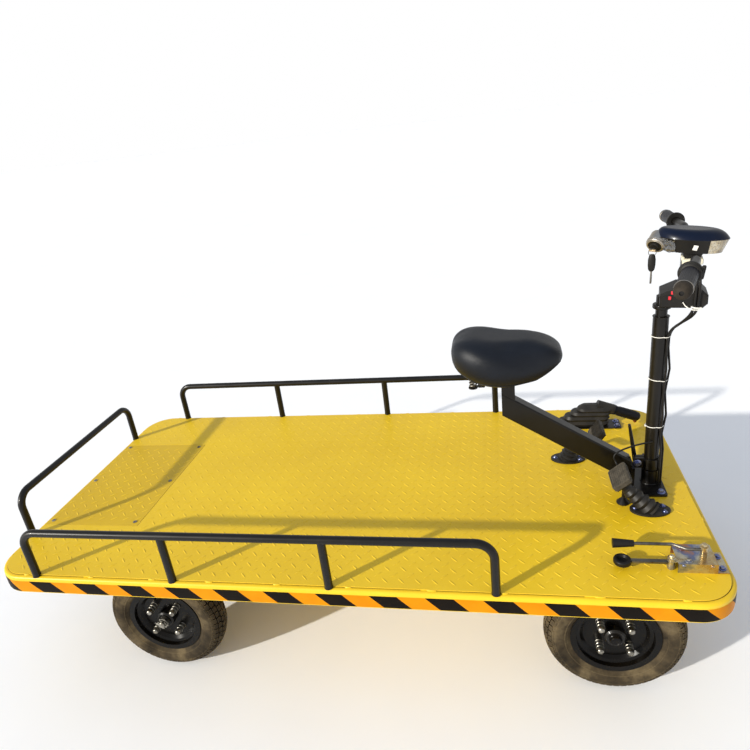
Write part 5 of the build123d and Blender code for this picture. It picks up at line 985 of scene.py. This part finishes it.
# Under the saddle: two coils on rods that run back from the seat plate
COIL_X, COIL_Y, COIL_R = 379.0, 40.0, 9.5
springs = bmesh.new()
for y in (-COIL_Y, COIL_Y):
    coil = []
    for k in range(61):
        a = 2 * pi * k / 15
        coil.append((COIL_X + COIL_R * cos(a), y + COIL_R * sin(a), 765.0 + 34.0 * k / 60))
    sweep(springs, coil, 2.1, steps=8)
    rod = [(440.0, y, 776.0), (412.0, y, 775.0), (396.0, y, 767.0), (COIL_X, y, 763.0), (369.0, y, 763.0)]
    sweep(springs, rod, 3.6, steps=10, mat=1)
    slab(springs, at(403.0, y, 770.0), (20.0, 16.0, 13.0), 3.0, 1, 2)
    lathe(springs, [(0, -2.0), (13.0, -2.0), (13.0, 0.6), (0, 0.8)], at(COIL_X, y, 763.0), 24, 1)
sweep(springs, [(396.0, -COIL_Y, 767.0), (396.0, 0.0, 765.0), (396.0, COIL_Y, 767.0)], 3.4, steps=10, mat=1)
for x in (437.0, 518.0):
    for y in (-COIL_Y, COIL_Y):
        bolt(springs, at(x, y, 779.0, aim=(0, 0, -1), spin=x), 12.0, 6.0, True, 2)
show("saddle_springs", springs, [STEEL, BLACK, ZINC], "chassis")

# Underneath: nuts on the studs of the spring clips
CLIP_X, CLIP_Y, CLIP_TOP = -562.5, 278.0, 244.0
under = bmesh.new()
for side in (-1, 1):
    for dx in (-23.0, 23.0):
        for dy in (-10.0, 10.0):
            bolt(under, at(CLIP_X + dx, side * CLIP_Y + dy, CLIP_TOP, spin=dx + dy), 16.0, 7.5, False)
show("spring_nuts", under, [ZINC], "chassis")


# Cords: the pedal cable, and two leads from the bar down to the column
def route(name, points):
    """One smooth open line with the route's points as its control points."""
    curve = bpy.data.curves.new(name, "CURVE")
    curve.dimensions = "3D"
    line = curve.splines.new("NURBS")
    line.points.add(len(points) - 1)
    for control, p in zip(line.points, points):
        control.co = (p[0] * 0.001, p[1] * 0.001, p[2] * 0.001, 1.0)
    line.order_u = 3
    line.use_endpoint_u = True
    line.resolution_u = 14
    return curve


def followed(curve):
    """Points along the line, in millimetres."""
    guide = bpy.data.objects.new("guide", curve)
    mesh = bpy.data.meshes.new_from_object(guide)
    points = [v.co * 1000 for v in mesh.vertices]
    bpy.data.objects.remove(guide)
    bpy.data.meshes.remove(mesh)
    return points


def run_of(points):
    """Length along points, in metres."""
    return sum((b - a).length for a, b in zip(points, points[1:])) * 0.001


CABLE = ((873.5, -22.5, 568.0), (821.5, -30.0, 562.0), (761.5, -38.0, 536.0), (777.2, -43.1, 504.0),
         (777.2, -73.1, 504.0))
line = route("pedal_lead", CABLE)
cable_run = run_of(followed(line))
line.bevel_depth = 0.0025
line.bevel_resolution = 4
line.use_fill_caps = True
line.materials.append(WIRE)
lead = bpy.data.objects.new("pedal_lead", line)
SCENE.collection.objects.link(lead)
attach(lead, "chassis")
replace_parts(lead, "pedal_cable")

# Each lead leaves the bar clamp, runs down beside the box and hangs across to the column
LEADS = (("bar_lead_outer", 78.0, (899.3, -7.9)), ("bar_lead_inner", 70.0, (892.4, -17.8)))
for name, x, (cx, cy) in LEADS:
    beside = ((x, -24.5, 636.0), (x, -38.0, 634.0), (x + 2, -49.0, 622.0), (x + 2, -48.0, 585.0),
              (x + 1, -47.0, 553.0), (x - 8, -43.0, 532.0))
    points = [HEAD @ Vector(p) for p in beside]
    start = points[0]
    points += [Vector((cx + 26.0, cy - 15.0, 925.0)), Vector((cx + 3.0, cy - 2.6, 902.0))]
    points.append(Vector((cx, cy, 880.0)))
    path = followed(route(name, points))
    tube = bmesh.new()
    sweep(tube, path, 3.4, steps=12)
    piece = show(name, tube, WIRE, None, 60)
    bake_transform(piece)

# Tie that gathers the leads below the box, with its loose tail
knot = bmesh.new()
loop = []
for a in circle(36):
    loop.append((75.0 + 10.5 * cos(a), -46.6 + 5.0 * sin(a), 556.0 - 1.5 * cos(a)))
for lift in (-1.1, 0.2, 1.5):
    sweep(knot, [(x, y, z + lift) for x, y, z in loop], 0.8, MM @ HEAD, 8, 0, True)
slab(knot, at(86.0, -49.0, 555.0, base=HEAD), (5.0, 4.6, 5.0), 0.8)
TAIL = ((87.0, -50.8, 553.6), (78.0, -53.6, 551.8), (68.0, -54.2, 552.4), (58.0, -52.6, 556.0),
        (50.0, -48.8, 562.0), (45.0, -44.4, 569.0))
for lift in (-0.6, 0.6):
    sweep(knot, [(x, y, z + lift) for x, y, z in TAIL], 0.85, MM @ HEAD, 8)
show("box_tie", knot, [WHITE], "steering")

# Camera, stage and light
EYE = (0.4677, -1.6402, 1.5052)
RIGHT = Vector((0.97760621, 0.17660468, -0.11444163))
DOWN = Vector((-0.03405117, -0.40389886, -0.91416969))
AHEAD = Vector((-0.20766949, 0.89759484, -0.38884044))
FOCAL_PX, PHOTO_PX, SENSOR = 609.28, 750, 36.0
camera = bpy.data.objects.new("camera", bpy.data.cameras.new("camera"))
camera.data.sensor_width = SENSOR
camera.data.lens = FOCAL_PX / PHOTO_PX * SENSOR
camera.matrix_world = Matrix.Translation(EYE) @ Matrix((RIGHT, -DOWN, -AHEAD)).transposed().to_4x4()
SCENE.collection.objects.link(camera)
SCENE.camera = camera

FLOOR = surface("pale_floor", [(250, 250, 250), (253, 253, 253)], (0.8, 0.9), 2.0, 60, 0.00002, fixed=DULL)
ground = bmesh.new()
bmesh.ops.create_grid(ground, x_segments=2, y_segments=2, size=90.0)
floor_mesh = bpy.data.meshes.new("floor")
ground.to_mesh(floor_mesh)
ground.free()
floor_mesh.materials.append(FLOOR)
floor = bpy.data.objects.new("floor", floor_mesh)
floor.location.z = -0.001
SCENE.collection.objects.link(floor)

world = bpy.data.worlds.new("studio")
world.use_nodes = True
SCENE.world = world
sky = world.node_tree
height = node(sky, "SeparateXYZ", {"Vector": node(sky, "TexCoord").outputs["Generated"]}).outputs["Z"]
colours = [(0.0, (1.0, 0.99, 0.96, 1)), (0.45, (1.0, 0.99, 0.97, 1)), (0.95, (0.66, 0.78, 1.0, 1))]
glow = sky.nodes["Background"]
sky.links.new(ramp(sky, height, colours), glow.inputs["Color"])
glow.inputs["Strength"].default_value = 0.68
plain = node(sky, "Background", {"Color": (1, 1, 1, 1), "Strength": 1.0})
seen = node(sky, "LightPath").outputs["Is Camera Ray"]
both = node(sky, "MixShader", {"Fac": seen, 1: glow.outputs[0], 2: plain.outputs[0]})
sky.links.new(both.outputs[0], sky.nodes["World Output"].inputs["Surface"])

SUN_AIM = (0.708, 0.615, -0.346)
sun = bpy.data.lights.new("key", "SUN")
sun.energy = 4.4
sun.angle = radians(1.6)
sun.color = (1.0, 0.96, 0.88)
key_light = bpy.data.objects.new("key", sun)
key_light.rotation_mode = "QUATERNION"
key_light.rotation_quaternion = Vector(SUN_AIM).to_track_quat("-Z", "Y")
SCENE.collection.objects.link(key_light)
